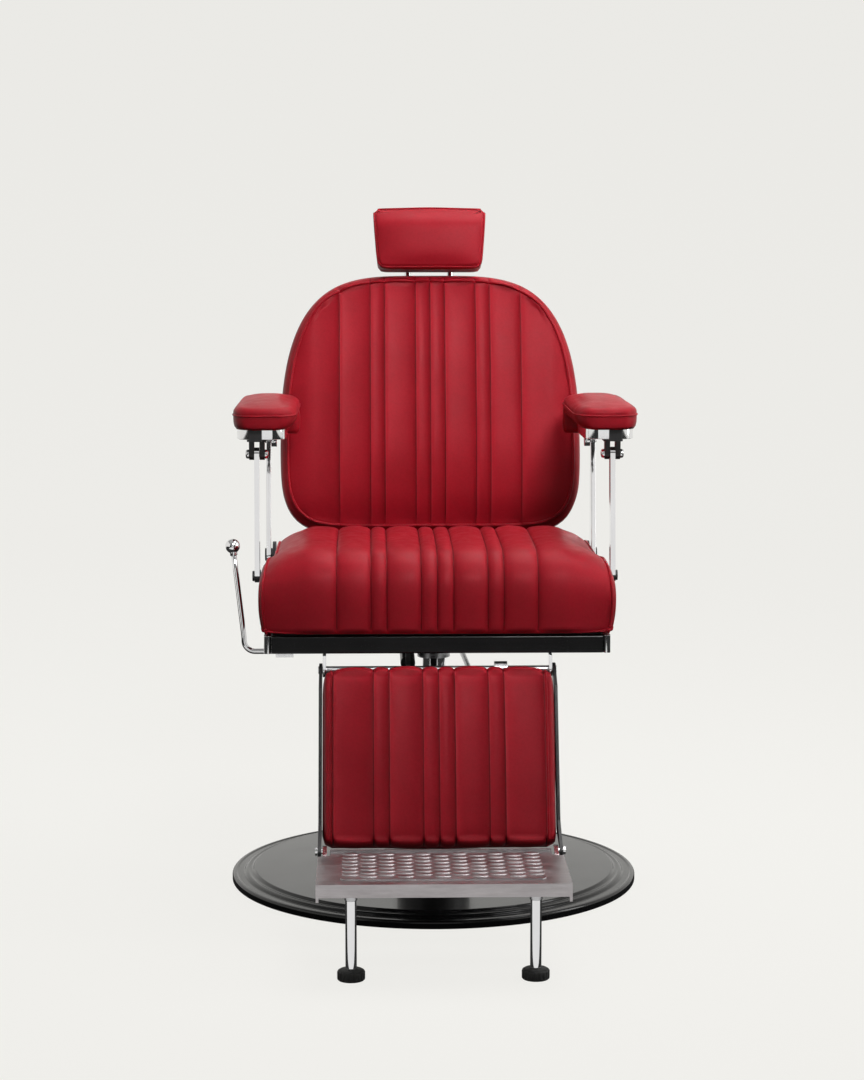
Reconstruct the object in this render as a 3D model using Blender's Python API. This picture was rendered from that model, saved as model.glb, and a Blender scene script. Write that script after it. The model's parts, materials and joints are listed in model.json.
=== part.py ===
"""Hydraulic barber chair.

Metres, +Z up. The chair faces -Y and its right-hand side, seen from the front, is +X.
The origin is the centre of the base's underside, on the floor.
Each joint has an empty on its axis, and the pieces that it moves are parented to that empty.
"""

import math

import bmesh
import bpy
from mathutils import Matrix, Vector

# Clearances
GAP = 0.0003
RUN = 0.0003

# Base and hydraulic pump
BASE_R = 0.340
PLATEAU_R = 0.303
BASE_SEGMENTS = 48
HUB_TOP = 0.0300
HUB_R = 0.0900
PLATE_T = 0.0040
RING_IN = 0.316
RING_OUT = 0.334
CYLINDER_R = 0.062
CYLINDER_TOP = 0.315
RAM_R = 0.020
RAM_TOP = 0.416
PEDAL_PIVOT = Vector((0.0, 0.098, 0.082))
PEDAL_END = Vector((0.0, 0.372, 0.112))
PLUNGER_Y = 0.134

# Seat
SEAT_HALF = 0.2845
SEAT_BODY_HALF = 0.2678
SEAT_FRONT = -0.275
SEAT_EAR_REAR = -0.146
SEAT_REAR = 0.114
PAN_BOTTOM = 0.4485
PAN_TOP = 0.4545
SEAT_BOTTOM = PAN_TOP + 0.0005
SEAT_TOP = 0.5835
PANEL_BOTTOM = 0.4257
RAIL_IN = 0.2617
RAIL_OUT = 0.2735
BRACKET_IN = 0.2685
BRACKET_OUT = 0.2745

# Recline axis, the arm parallelogram and the cranks under the seat
RECLINE = Vector((0.0, 0.165, 0.530))
SHAFT_R = 0.011
FRONT_PIVOT = Vector((0.0, -0.115, 0.530))
STRUT_STEP = Vector((0.0, 0.020, 0.197))
FRONT_STRUT_X = (0.2850, 0.2930)
REAR_STRUT_X = (0.2770, 0.2850)
PIN_R = 0.005
CRANK_LEAN = math.radians(25.0)
SPRING_CRANK = 0.148
SYNC_CRANK = 0.115
SPRING_X = -0.045
SPRING_R = 0.012
SPRING_Z = 0.389
SYNC_REAR_X = 0.018
SYNC_FRONT_X = 0.098

# Backrest, in its own raked plane: u runs up the face, n forwards from the face
RAKE = math.radians(13.5)
BACK_FOOT = Vector((0.0, 0.160, 0.570))
BACK_HEIGHT = 0.460
BACK_HALF = 0.2640
BACK_PAD_T = 0.055
BACK_BOARD_T = 0.022
POST_X = 0.038
POST_N = -0.090
POST_R = 0.006
TILT_U = 0.512

# Arms
ARM_IN = 0.2235
ARM_OUT = 0.3265
ARM_FRONT = -0.165
ARM_REAR = 0.165
ARM_PAD_BOTTOM = 0.7740
ARM_PAD_TOP = 0.8150
HOUSING_BOTTOM = 0.7545

# Leg rest, in its own raked plane: s runs down the face, n forwards from the face
LEG_PIVOT = Vector((0.0, -0.255, 0.399))
LEG_TOP = Vector((0.0, -0.318, 0.418))
LEG_FOOT = Vector((0.0, -0.420, 0.157))
LEG_HALF = 0.1808
LEG_PAD_T = 0.045
LEG_RAIL_X = (0.1815, 0.1865)
LEG_LUG_X = (0.1755, 0.1808)

# Footplate
TOE_PIVOT = Vector((0.0, -0.432, 0.150))
STEP_TOP = 0.151
STEP_T = 0.004
STEP_HALF = 0.1855
STEP_NECK_HALF = 0.168
STEP_REAR = -0.4405
STEP_WIDE = -0.464
STEP_FRONT = -0.636
FOOT_X = 0.135
FOOT_Y = -0.600
FOOT_R = 0.0205
FOOT_H = 0.016
POST_TUBE_R = 0.0083

# Lever
LEVER_AXIS = Vector((-0.150, -0.150, 0.412))
LEVER_R = 0.0045
BALL = Vector((-0.3285, -0.122, 0.580))
BALL_R = 0.012


# ---------------------------------------------------------------- scene and materials

def clear_scene():
    for obj in list(bpy.data.objects):
        bpy.data.objects.remove(obj, do_unlink=True)


def principled(name, colour, metallic, roughness, coat=0.0):
    material = bpy.data.materials.new(name)
    material.use_nodes = True
    shader = material.node_tree.nodes["Principled BSDF"]
    shader.inputs["Base Color"].default_value = (*colour, 1.0)
    shader.inputs["Metallic"].default_value = metallic
    shader.inputs["Roughness"].default_value = roughness
    shader.inputs["Coat Weight"].default_value = coat
    return material


def make_materials():
    return {
        "leather": principled("red_leather", (0.36, 0.012, 0.020), 0.0, 0.42),
        "gloss_black": principled("gloss_black", (0.008, 0.008, 0.009), 0.0, 0.12, 0.6),
        "black_steel": principled("black_steel", (0.020, 0.020, 0.022), 0.3, 0.45),
        "chrome": principled("chrome", (0.88, 0.88, 0.89), 1.0, 0.06),
        "steel": principled("steel", (0.55, 0.55, 0.56), 1.0, 0.30),
        "cast_aluminium": principled("cast_aluminium", (0.60, 0.59, 0.58), 1.0, 0.34),
        "rubber": principled("rubber", (0.012, 0.012, 0.012), 0.0, 0.75),
        "plastic": principled("black_plastic", (0.015, 0.015, 0.015), 0.0, 0.40),
    }


def empty(name, place, parent=None):
    """An empty on a joint's axis, placed in the world and parented without moving."""
    joint = bpy.data.objects.new(name, None)
    joint.empty_display_size = 0.05
    bpy.context.scene.collection.objects.link(joint)
    joint["place"] = tuple(place)
    joint.location = Vector(place)
    if parent is not None:
        joint.parent = parent
        joint.location = Vector(place) - Vector(parent["place"])
    return joint


# ---------------------------------------------------------------- shapes, as bmeshes in world space

def arc(cy, cz, radius, start, end, steps):
    """Points on a circle from start to end, in degrees."""
    angles = [math.radians(start + (end - start) * i / steps) for i in range(steps + 1)]
    return [(cy + radius * math.cos(a), cz + radius * math.sin(a)) for a in angles]


def link_outline(p, q, p_radius, q_radius, steps=6):
    """The outline of a link with a round end at p and another at q."""
    heading = math.degrees(math.atan2(q[1] - p[1], q[0] - p[0]))
    first = arc(p[0], p[1], p_radius, heading + 90.0, heading + 270.0, steps)
    second = arc(q[0], q[1], q_radius, heading - 90.0, heading + 90.0, steps)
    return first + second


def rounded_box_outline(x0, x1, y0, y1, radius, steps=3):
    return (
        arc(x1 - radius, y0 + radius, radius, -90.0, 0.0, steps)
        + arc(x1 - radius, y1 - radius, radius, 0.0, 90.0, steps)
        + arc(x0 + radius, y1 - radius, radius, 90.0, 180.0, steps)
        + arc(x0 + radius, y0 + radius, radius, 180.0, 270.0, steps)
    )


def prism(outline, axis, low, high, frame=None):
    """An outline extruded along an axis. X takes (y, z) points, Y (x, z) and Z (x, y)."""
    place = {
        "X": lambda a, b, h: (h, a, b),
        "Y": lambda a, b, h: (a, h, b),
        "Z": lambda a, b, h: (a, b, h),
    }[axis]
    shape = bmesh.new()
    lower = [shape.verts.new(place(a, b, low)) for a, b in outline]
    upper = [shape.verts.new(place(a, b, high)) for a, b in outline]
    shape.faces.new(lower)
    shape.faces.new(upper)
    count = len(outline)
    for i in range(count):
        j = (i + 1) % count
        shape.faces.new((lower[i], lower[j], upper[j], upper[i]))
    return finish(shape, frame)


def block(x0, x1, y0, y1, z0, z1, frame=None):
    return prism([(x0, y0), (x1, y0), (x1, y1), (x0, y1)], "Z", z0, z1, frame)


def turned(profile, segments, frame=None):
    """A profile of (radius, height) points turned about Z. A radius of 0 is a point on the axis."""
    shape = bmesh.new()
    rings = []
    for radius, height in profile:
        if radius < 1e-7:
            rings.append([shape.verts.new((0.0, 0.0, height))])
            continue
        turn = [2.0 * math.pi * i / segments for i in range(segments)]
        rings.append([shape.verts.new((radius * math.cos(t), radius * math.sin(t), height)) for t in turn])
    pairs = list(zip(rings, rings[1:]))
    if len(rings[0]) > 1 and len(rings[-1]) > 1:
        pairs.append((rings[-1], rings[0]))
    for first, second in pairs:
        for i in range(segments):
            j = (i + 1) % segments
            corners = [
                first[i % len(first)], first[j % len(first)],
                second[j % len(second)], second[i % len(second)],
            ]
            distinct = list(dict.fromkeys(corners))
            if len(distinct) > 2:
                shape.faces.new(distinct)
    return finish(shape, frame)


def disc(radius, low, high, segments, frame=None):
    return turned([(0.0, low), (radius, low), (radius, high), (0.0, high)], segments, frame)


def ring(inner, outer, low, high, segments, frame=None):
    return turned([(inner, low), (outer, low), (outer, high), (inner, high)], segments, frame)


def swept(points, radius, segments):
    """A round rod along a path of points."""
    shape = bmesh.new()
    points = [Vector(p) for p in points]
    side = None
    rings = []
    for i, point in enumerate(points):
        before = points[max(i - 1, 0)]
        after = points[min(i + 1, len(points) - 1)]
        heading = (after - before).normalized()
        if side is None:
            side = heading.orthogonal().normalized()
        side = (side - heading * side.dot(heading)).normalized()
        other = heading.cross(side)
        turn = [2.0 * math.pi * k / segments for k in range(segments)]
        rings.append([
            shape.verts.new(point + radius * (side * math.cos(t) + other * math.sin(t)))
            for t in turn
        ])
    for first, second in zip(rings, rings[1:]):
        for k in range(segments):
            m = (k + 1) % segments
            shape.faces.new((first[k], first[m], second[m], second[k]))
    shape.faces.new(rings[0])
    shape.faces.new(rings[-1])
    return finish(shape, None)


def finish(shape, frame):
    if frame is not None:
        bmesh.ops.transform(shape, matrix=frame, verts=shape.verts)
    bmesh.ops.recalc_face_normals(shape, faces=shape.faces)
    return shape


def along_x(place):
    """A frame whose Z runs along the world's +X, from a place."""
    return Matrix.Translation(place) @ Matrix.Rotation(math.pi / 2.0, 4, "Y")


def along_y(place):
    """A frame whose Z runs along the world's +Y, from a place."""
    return Matrix.Translation(place) @ Matrix.Rotation(-math.pi / 2.0, 4, "X")


def cross_pin(centre, radius, x0, x1, segments=12):
    """A rod along X through a centre."""
    return disc(radius, x0, x1, segments, along_x(Vector((0.0, centre[1], centre[2]))))


def back_frame_matrix():
    """x, then n forwards from the face, then u up the face, to the world."""
    forwards = Vector((0.0, -math.cos(RAKE), math.sin(RAKE)))
    upwards = Vector((0.0, math.sin(RAKE), math.cos(RAKE)))
    columns = Matrix((Vector((-1.0, 0.0, 0.0)), forwards, upwards)).transposed().to_4x4()
    return Matrix.Translation(BACK_FOOT) @ columns


def leg_frame_matrix():
    """x, then n forwards from the face, then s down the face, to the world."""
    downwards = (LEG_FOOT - LEG_TOP).normalized()
    forwards = Vector((0.0, downwards.z, -downwards.y))
    columns = Matrix((Vector((1.0, 0.0, 0.0)), forwards, downwards)).transposed().to_4x4()
    return Matrix.Translation(LEG_TOP) @ columns


# ---------------------------------------------------------------- pieces

def raw_object(name, shape):
    mesh = bpy.data.meshes.new(name)
    shape.to_mesh(mesh)
    shape.free()
    obj = bpy.data.objects.new(name, mesh)
    bpy.context.scene.collection.objects.link(obj)
    return obj


def combine(obj, others, operation):
    """Booleans applied one after another, with the tool objects removed."""
    tools = []
    for i, shape in enumerate(others):
        tool = raw_object(f"tool_{i}", shape)
        tool.hide_render = True
        tool.display_type = "WIRE"
        tools.append(tool)
        modifier = obj.modifiers.new(f"{operation}_{i}", "BOOLEAN")
        modifier.operation = operation
        modifier.solver = "EXACT"
        modifier.object = tool
    bpy.context.view_layer.update()
    graph = bpy.context.evaluated_depsgraph_get()
    made = bpy.data.meshes.new_from_object(obj.evaluated_get(graph))
    obj.modifiers.clear()
    obj.data = made
    for tool in tools:
        bpy.data.objects.remove(tool, do_unlink=True)


def piece(name, material, joint, shapes, cuts=()):
    """One solid: the shapes joined, less the cuts, with its origin on its joint's axis."""
    obj = raw_object(name, shapes[0])
    if len(shapes) > 1:
        combine(obj, shapes[1:], "UNION")
    if cuts:
        combine(obj, cuts, "DIFFERENCE")
    obj.data.name = name
    obj.data.transform(Matrix.Translation(-Vector(joint["place"])))
    obj.parent = joint
    obj.data.materials.clear()
    obj.data.materials.append(material)
    obj.data.shade_smooth()
    obj.data.set_sharp_from_angle(angle=math.radians(35.0))
    return obj


def sides():
    """Name and sign of the two sides: left is -X, at the lever."""
    return (("left", -1.0), ("right", 1.0))


def span(side, limits):
    """Limits given for the +X side, put in order on either side."""
    return sorted((side * limits[0], side * limits[1]))


# ---------------------------------------------------------------- base and pump

def base_profile():
    """Underside hollow, outer wall, stepped rim, flat top and the hub that carries the pump."""
    wall = 0.006
    return [
        (0.0, 0.0140),
        (RING_IN - 0.006, 0.0140),
        (RING_OUT + 0.0008, 0.0060),
        (RING_OUT + 0.0008, 0.0012),
        (BASE_R - 0.0010, 0.0012),
        (BASE_R, 0.0025),
        (BASE_R, 0.0120),
        (BASE_R - 0.0025, 0.0145),
        (BASE_R - 0.0070, 0.0150),
        (BASE_R - 0.0090, 0.0135),
        (BASE_R - 0.0200, 0.0140),
        (BASE_R - 0.0225, 0.0175),
        (BASE_R - 0.0265, 0.0188),
        (BASE_R - 0.0310, 0.0180),
        (PLATEAU_R + 0.0030, 0.0190),
        (PLATEAU_R, 0.0225),
        (HUB_R + 0.012, 0.0140 + 2.0 * wall),
        (HUB_R, HUB_TOP),
        (0.0, HUB_TOP),
    ]


def make_base(materials, joint):
    piece("floor_plate", materials["black_steel"], joint, [disc(RING_IN - GAP, 0.0, PLATE_T, BASE_SEGMENTS)])
    piece("floor_ring", materials["rubber"], joint, [ring(RING_IN, RING_OUT, 0.0, PLATE_T, BASE_SEGMENTS)])
    piece("base_cover", materials["gloss_black"], joint, [turned(base_profile(), BASE_SEGMENTS)])


def make_pump(materials, joint):
    top = CYLINDER_TOP
    body = turned(
        [
            (0.0, HUB_TOP + GAP),
            (0.084, HUB_TOP + GAP),
            (0.084, HUB_TOP + 0.012),
            (0.068, HUB_TOP + 0.018),
            (CYLINDER_R, HUB_TOP + 0.030),
            (CYLINDER_R, top - 0.004),
            (CYLINDER_R - 0.004, top),
            (RAM_R + 0.001, top),
            (RAM_R + 0.001, 0.060),
            (0.0, 0.060),
        ],
        32,
    )
    lug = block(-0.030, 0.030, 0.050, 0.112, HUB_TOP + 0.002, 0.098)
    tunnel = disc(0.0063, 0.028, 0.080, 12, Matrix.Translation((0.0, PLUNGER_Y, 0.0)))
    plunger_block = block(-0.018, 0.018, 0.060, PLUNGER_Y + 0.016, HUB_TOP + 0.002, 0.062)
    slot = block(-0.0133, 0.0133, 0.072, 0.116, 0.064, 0.100)
    bore = cross_pin(PEDAL_PIVOT, 0.0063, -0.04, 0.04)
    piece("pump_cylinder", materials["black_steel"], joint, [body, lug, plunger_block], [slot, bore, tunnel])
    piece("gland_cap", materials["chrome"], joint, [turned(
        [
            (RAM_R + RUN + 0.0002, top + GAP),
            (0.050, top + GAP),
            (0.050, top + 0.008),
            (0.044, top + 0.013),
            (RAM_R + 0.005, top + 0.013),
            (RAM_R + 0.005, top + 0.006),
            (RAM_R + RUN + 0.0002, top + 0.006),
        ],
        28,
    )])
    piece("ram_seal", materials["rubber"], joint, [
        ring(RAM_R + RUN, RAM_R + 0.0046, top + 0.0064, top + 0.0145, 24),
    ])
    piece("pedal_pin", materials["steel"], joint, [cross_pin(PEDAL_PIVOT, 0.006, -0.034, 0.034)])


def make_pedal(materials, pedal_joint, plunger_joint):
    """The pedal's boss turns on its pin, and its heel pushes the plunger down."""
    start = (PEDAL_PIVOT.y, PEDAL_PIVOT.z)
    heel = (PLUNGER_Y, PEDAL_PIVOT.z + 0.002)
    end = (PEDAL_END.y, PEDAL_END.z)
    boss = prism(link_outline(start, heel, 0.0115, 0.011), "X", -0.013, 0.013)
    arm = prism(link_outline(heel, end, 0.011, 0.008), "X", -0.009, 0.009)
    tread = block(-0.034, 0.034, end[0] - 0.030, end[0] + 0.012, end[1] - 0.008, end[1] + 0.003)
    bore = cross_pin(PEDAL_PIVOT, 0.006 + RUN, -0.05, 0.05)
    piece("pump_pedal", materials["chrome"], pedal_joint, [boss, arm, tread], [bore])
    pad = block(-0.036, 0.036, end[0] - 0.032, end[0] + 0.012, end[1] + 0.0085, end[1] + 0.0150)
    piece("pedal_pad", materials["rubber"], pedal_joint, [pad])
    head = PEDAL_PIVOT.z - 0.0100
    stem = turned(
        [(0.0, 0.040), (0.006, 0.040), (0.006, head - 0.003), (0.0035, head - 0.0008), (0.0, head - 0.0005)],
        12,
        Matrix.Translation((0.0, PLUNGER_Y, 0.0)),
    )
    piece("pump_plunger", materials["steel"], plunger_joint, [stem])


def make_ram(materials, joint):
    profile = [
        (0.0, 0.066),
        (RAM_R, 0.066),
        (RAM_R, 0.3975),
        (RAM_R - 0.004, 0.4015),
        (RAM_R - 0.004, RAM_TOP),
        (0.0, RAM_TOP),
    ]
    piece("ram", materials["chrome"], joint, [turned(profile, 28)])
    piece("swivel_bearing", materials["steel"], joint, [ring(RAM_R + GAP, 0.0275, 0.3780, 0.3868, 24)])


# ---------------------------------------------------------------- seat

def make_seat_frame(materials, joint):
    collar = disc(0.028, 0.3872, 0.432, 24)
    spreader = prism(rounded_box_outline(-0.235, 0.235, -0.075, 0.045, 0.02), "Z", 0.430, PAN_BOTTOM - GAP)
    socket = turned(
        [(0.0, 0.380), (RAM_R + RUN, 0.380), (RAM_R + RUN, 0.3978), (RAM_R - 0.0037, 0.4018),
         (RAM_R - 0.0037, RAM_TOP + 0.0005), (0.0, RAM_TOP + 0.0005)],
        28,
    )
    piece("seat_mount", materials["black_steel"], joint, [collar, spreader], [socket])
    pan = prism(rounded_box_outline(-0.2612, 0.2612, -0.2480, SEAT_REAR, 0.012), "Z", PAN_BOTTOM, PAN_TOP)
    piece("seat_pan", materials["black_steel"], joint, [pan])
    panel = prism(
        [(-0.262, PANEL_BOTTOM + 0.002), (-0.260, PANEL_BOTTOM), (-0.2485, PANEL_BOTTOM),
         (-0.2485, 0.4538), (-0.260, 0.4538), (-0.262, 0.4518)],
        "X", -RAIL_IN + GAP, RAIL_IN - GAP,
    )
    piece("front_panel", materials["gloss_black"], joint, [panel])


def make_side(materials, joint, name, side):
    """The chrome rail, the upright bracket with its stud, and the leg-rest lug of one side."""
    rail = prism(
        rounded_box_outline(*span(side, (RAIL_IN, RAIL_OUT)), -0.262, 0.150, 0.0055),
        "Z", PANEL_BOTTOM, PAN_TOP - 0.0006,
    )
    piece(f"side_rail_{name}", materials["chrome"], joint, [rail])
    outline = (
        [(-0.140, PAN_TOP + 0.0006), (0.188, PAN_TOP + 0.0006)]
        + arc(RECLINE.y, RECLINE.z, 0.023, 0.0, 150.0, 6)
        + [(0.100, 0.497), (-0.060, 0.497)]
        + arc(FRONT_PIVOT.y, FRONT_PIVOT.z, 0.018, 30.0, 180.0, 6)
        + [(-0.140, 0.500)]
    )
    plate = prism(outline, "X", *span(side, (BRACKET_IN, BRACKET_OUT)))
    stud = cross_pin(FRONT_PIVOT, 0.006, *span(side, (BRACKET_IN + 0.001, 0.2945)), 12)
    cap = cross_pin(FRONT_PIVOT, 0.0085, *span(side, (0.2940, 0.2970)), 12)
    bore = cross_pin(RECLINE, SHAFT_R + RUN, *span(side, (0.26, 0.28)), 20)
    piece(f"seat_bracket_{name}", materials["black_steel"], joint, [plate, stud, cap], [bore])
    lug_outline = (
        [(-0.2200, PAN_BOTTOM - GAP), (-0.2200, 0.4380)]
        + arc(LEG_PIVOT.y, LEG_PIVOT.z, 0.0115, 30.0, -190.0, 8)
        + [(-0.2640, 0.4230), (-0.2480, 0.4245), (-0.2480, PAN_BOTTOM - GAP)]
    )
    lug = prism(lug_outline, "X", *span(side, LEG_LUG_X))
    lug_bore = cross_pin(LEG_PIVOT, 0.006 + RUN, *span(side, (0.17, 0.19)), 14)
    piece(f"legrest_lug_{name}", materials["chrome"], joint, [lug], [lug_bore])


def seat_section(half):
    """The cushion's cross-section, as (x, z) points from the bottom right round to the bottom left."""
    right = [
        (half - 0.0100, SEAT_BOTTOM),
        (half - 0.0030, SEAT_BOTTOM + 0.014),
        (half, SEAT_BOTTOM + 0.042),
        (half - 0.0055, SEAT_TOP - 0.042),
        (half - 0.0180, SEAT_TOP - 0.023),
        (half - 0.0400, SEAT_TOP - 0.007),
        (half - 0.0680, SEAT_TOP),
    ]
    return right + [(-x, z) for x, z in reversed(right)]


def make_seat_cushion(materials, joint):
    front = prism(seat_section(SEAT_HALF), "Y", SEAT_FRONT, SEAT_EAR_REAR)
    body = prism(seat_section(SEAT_BODY_HALF), "Y", SEAT_FRONT + 0.01, SEAT_REAR)
    nose = prism(
        [(SEAT_FRONT - 0.02, SEAT_TOP - 0.045), (SEAT_FRONT, SEAT_TOP - 0.045),
         (SEAT_FRONT + 0.012, SEAT_TOP - 0.018),
         (SEAT_FRONT + 0.040, SEAT_TOP), (SEAT_FRONT + 0.040, SEAT_TOP + 0.02),
         (SEAT_FRONT - 0.02, SEAT_TOP + 0.02)],
        "X", -0.4, 0.4,
    )
    piece("seat_cushion", materials["leather"], joint, [front, body], [nose])


def make_gas_spring(materials, seat_joint, rod_joint):
    """A locking gas spring: the tube stays on the seat, and the crank pushes the rod in."""
    frame = along_y(Vector((SPRING_X, 0.0, SPRING_Z)))
    tube = disc(SPRING_R, -0.135, 0.045, 20, frame)
    lug = block(SPRING_X - 0.009, SPRING_X + 0.009, -0.130, -0.105, SPRING_Z, 0.4297)
    wide = block(SPRING_X - 0.022, SPRING_X + 0.022, -0.132, -0.076, 0.4295, PAN_BOTTOM - GAP)
    bore = disc(0.0054, -0.100, 0.06, 14, frame)
    piece("gas_spring_tube", materials["black_steel"], seat_joint, [tube, lug, wide], [bore])
    rod = disc(0.005, 0.030, 0.2190, 12, frame)
    eye_y = RECLINE.y + SPRING_CRANK * math.sin(CRANK_LEAN)
    eye = prism(
        arc(eye_y, SPRING_Z + 0.008, 0.0105, 0.0, 180.0, 6)
        + arc(eye_y, SPRING_Z - 0.008, 0.0105, 180.0, 360.0, 6),
        "X", SPRING_X - 0.0050, SPRING_X + 0.0035,
    )
    slot = prism(
        arc(eye_y, SPRING_Z + 0.0078, 0.0055, 0.0, 180.0, 6)
        + arc(eye_y, SPRING_Z - 0.0078, 0.0055, 180.0, 360.0, 6),
        "X", SPRING_X - 0.02, SPRING_X + 0.02,
    )
    piece("gas_spring_rod", materials["chrome"], rod_joint, [rod, eye], [slot])


def make_lever(materials, seat_joint, lever_joint):
    bearing = block(-0.2585, -0.2300, -0.163, -0.137, 0.4040, PAN_BOTTOM - GAP)
    bore = disc(LEVER_R + RUN, -0.30, -0.20, 14, along_x(Vector((0.0, LEVER_AXIS.y, LEVER_AXIS.z))))
    piece("lever_bearing", materials["chrome"], seat_joint, [bearing], [bore])
    y, z = LEVER_AXIS.y, LEVER_AXIS.z
    knee = Vector((-0.3095, y + 0.0030, z + 0.0180))
    path = [BALL, BALL.lerp(knee, 0.5), knee, (-0.3065, y + 0.0012, z + 0.0085), (-0.3010, y, z + 0.0025),
            (-0.2930, y, z), (-0.040, y, z)]
    rod = swept(path, LEVER_R, 12)
    cam_outline = link_outline((y, z), (y, z - 0.020), 0.0075, 0.0050, 5)
    cam = prism(cam_outline, "X", SPRING_X - 0.004, SPRING_X + 0.004)
    ball = bmesh.new()
    bmesh.ops.create_uvsphere(
        ball, u_segments=16, v_segments=10, radius=BALL_R, matrix=Matrix.Translation(BALL))
    piece("recline_lever", materials["chrome"], lever_joint, [rod, cam, ball])


# ---------------------------------------------------------------- cranks

def crank_pin(pivot, radius):
    return Vector((0.0, pivot.y + radius * math.sin(CRANK_LEAN), pivot.z - radius * math.cos(CRANK_LEAN)))


def crank(pivot, shaft_radius, radius, plate_x, pin_x):
    """The shapes of a crank welded on a shaft, with a pin at its end."""
    end = crank_pin(pivot, radius)
    hub_r = shaft_radius + 0.007
    plate = prism(link_outline((pivot.y, pivot.z), (end.y, end.z), hub_r - 0.0015, 0.009), "X", *plate_x)
    middle = 0.5 * (plate_x[0] + plate_x[1])
    hub = cross_pin(pivot, hub_r, middle - 0.010, middle + 0.010, 18)
    pin = cross_pin(end, 0.004, *pin_x, 10)
    return [plate, hub, pin]


# ---------------------------------------------------------------- back and headrest

def back_outline(inset, steps=5):
    """(x, u) points of the backrest: a wide soft crown, gently narrowing sides and round lower corners."""
    half = BACK_HALF - inset
    low = inset
    high = BACK_HEIGHT - inset
    right = (
        arc(half - 0.100, low + 0.055, 0.055, -90.0, -45.0, 2)
        + [(half - 0.0270, low + 0.033), (half - 0.0080, low + 0.080), (half, low + 0.140)]
        + [(half - 0.0030, high - 0.210), (half - 0.0130, high - 0.155)]
        + [(half - 0.0400, high - 0.080), (half - 0.0780, high - 0.033), (half - 0.1220, high - 0.0085)]
        + [(half - 0.1900, high)]
    )
    return right + [(-x, u) for x, u in reversed(right)]


def make_back(materials, joint):
    frame = back_frame_matrix()
    pad = prism(back_outline(0.0), "Y", -BACK_PAD_T, 0.0, frame)
    piece("back_cushion", materials["leather"], joint, [pad])
    board_front = -BACK_PAD_T - 0.0005
    board_back = board_front - BACK_BOARD_T
    board = prism(back_outline(0.002), "Y", board_back, board_front, frame)
    piece("back_board", materials["leather"], joint, [board])
    tube = cross_pin(RECLINE, SHAFT_R, -0.2880, 0.2880, 20)
    arms = []
    rear = board_back - GAP
    knee_y = RECLINE.y + 0.094
    for _, side in sides():
        x0, x1 = span(side, (0.196, 0.204))
        knee = (knee_y, RECLINE.z - 0.004)
        foot = prism(link_outline((RECLINE.y, RECLINE.z), knee, 0.018, 0.014), "X", x0, x1)
        upright = block(x0 + 0.0005, x1 - 0.0005, rear - 0.026, rear, -0.036, 0.300, frame)
        arms += [foot, upright]
    crossbar = block(-0.200, 0.200, rear - 0.010, rear - 0.001, 0.085, 0.135, frame)
    cranks = crank(RECLINE, SHAFT_R, SPRING_CRANK, (SPRING_X + 0.0056, SPRING_X + 0.0120),
                   (SPRING_X - 0.0070, SPRING_X + 0.0070))
    cranks += crank(RECLINE, SHAFT_R, SYNC_CRANK, (SYNC_REAR_X - 0.0050, SYNC_REAR_X + 0.0015),
                    (SYNC_REAR_X, SYNC_REAR_X + 0.0120))
    piece("back_frame", materials["black_steel"], joint, [tube, *arms, crossbar, *cranks])
    block_rear = board_back - GAP - 0.024
    guide = block(-0.056, 0.056, block_rear, board_back - GAP, 0.330, 0.430, frame)
    bores = [disc(POST_R + RUN, 0.30, 0.46, 14, frame @ Matrix.Translation((side * POST_X, POST_N, 0.0)))
             for _, side in sides()]
    screw_frame = frame @ Matrix.Translation((0.0, 0.0, 0.380)) @ Matrix.Rotation(math.pi / 2.0, 4, "X")
    screw_hole = disc(0.0045 + RUN, -block_rear - 0.010, -block_rear + 0.01, 12, screw_frame)
    piece("headrest_guide", materials["chrome"], joint, [guide], [*bores, screw_hole])


def knob_profile(start):
    return [
        (0.0, start - 0.0085),
        (0.0045, start - 0.0085),
        (0.0045, start + 0.0030),
        (0.0150, start + 0.0030),
        (0.0190, start + 0.0060),
        (0.0190, start + 0.0160),
        (0.0150, start + 0.0190),
        (0.0, start + 0.0190),
    ]


def make_knob(materials, joint):
    across = Matrix.Rotation(math.pi / 2.0, 4, "X")
    frame = back_frame_matrix() @ Matrix.Translation((0.0, 0.0, 0.380)) @ across
    start = BACK_PAD_T + 0.0005 + BACK_BOARD_T + GAP + 0.024
    piece("clamp_knob", materials["plastic"], joint, [turned(knob_profile(start), 16, frame)])


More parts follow.
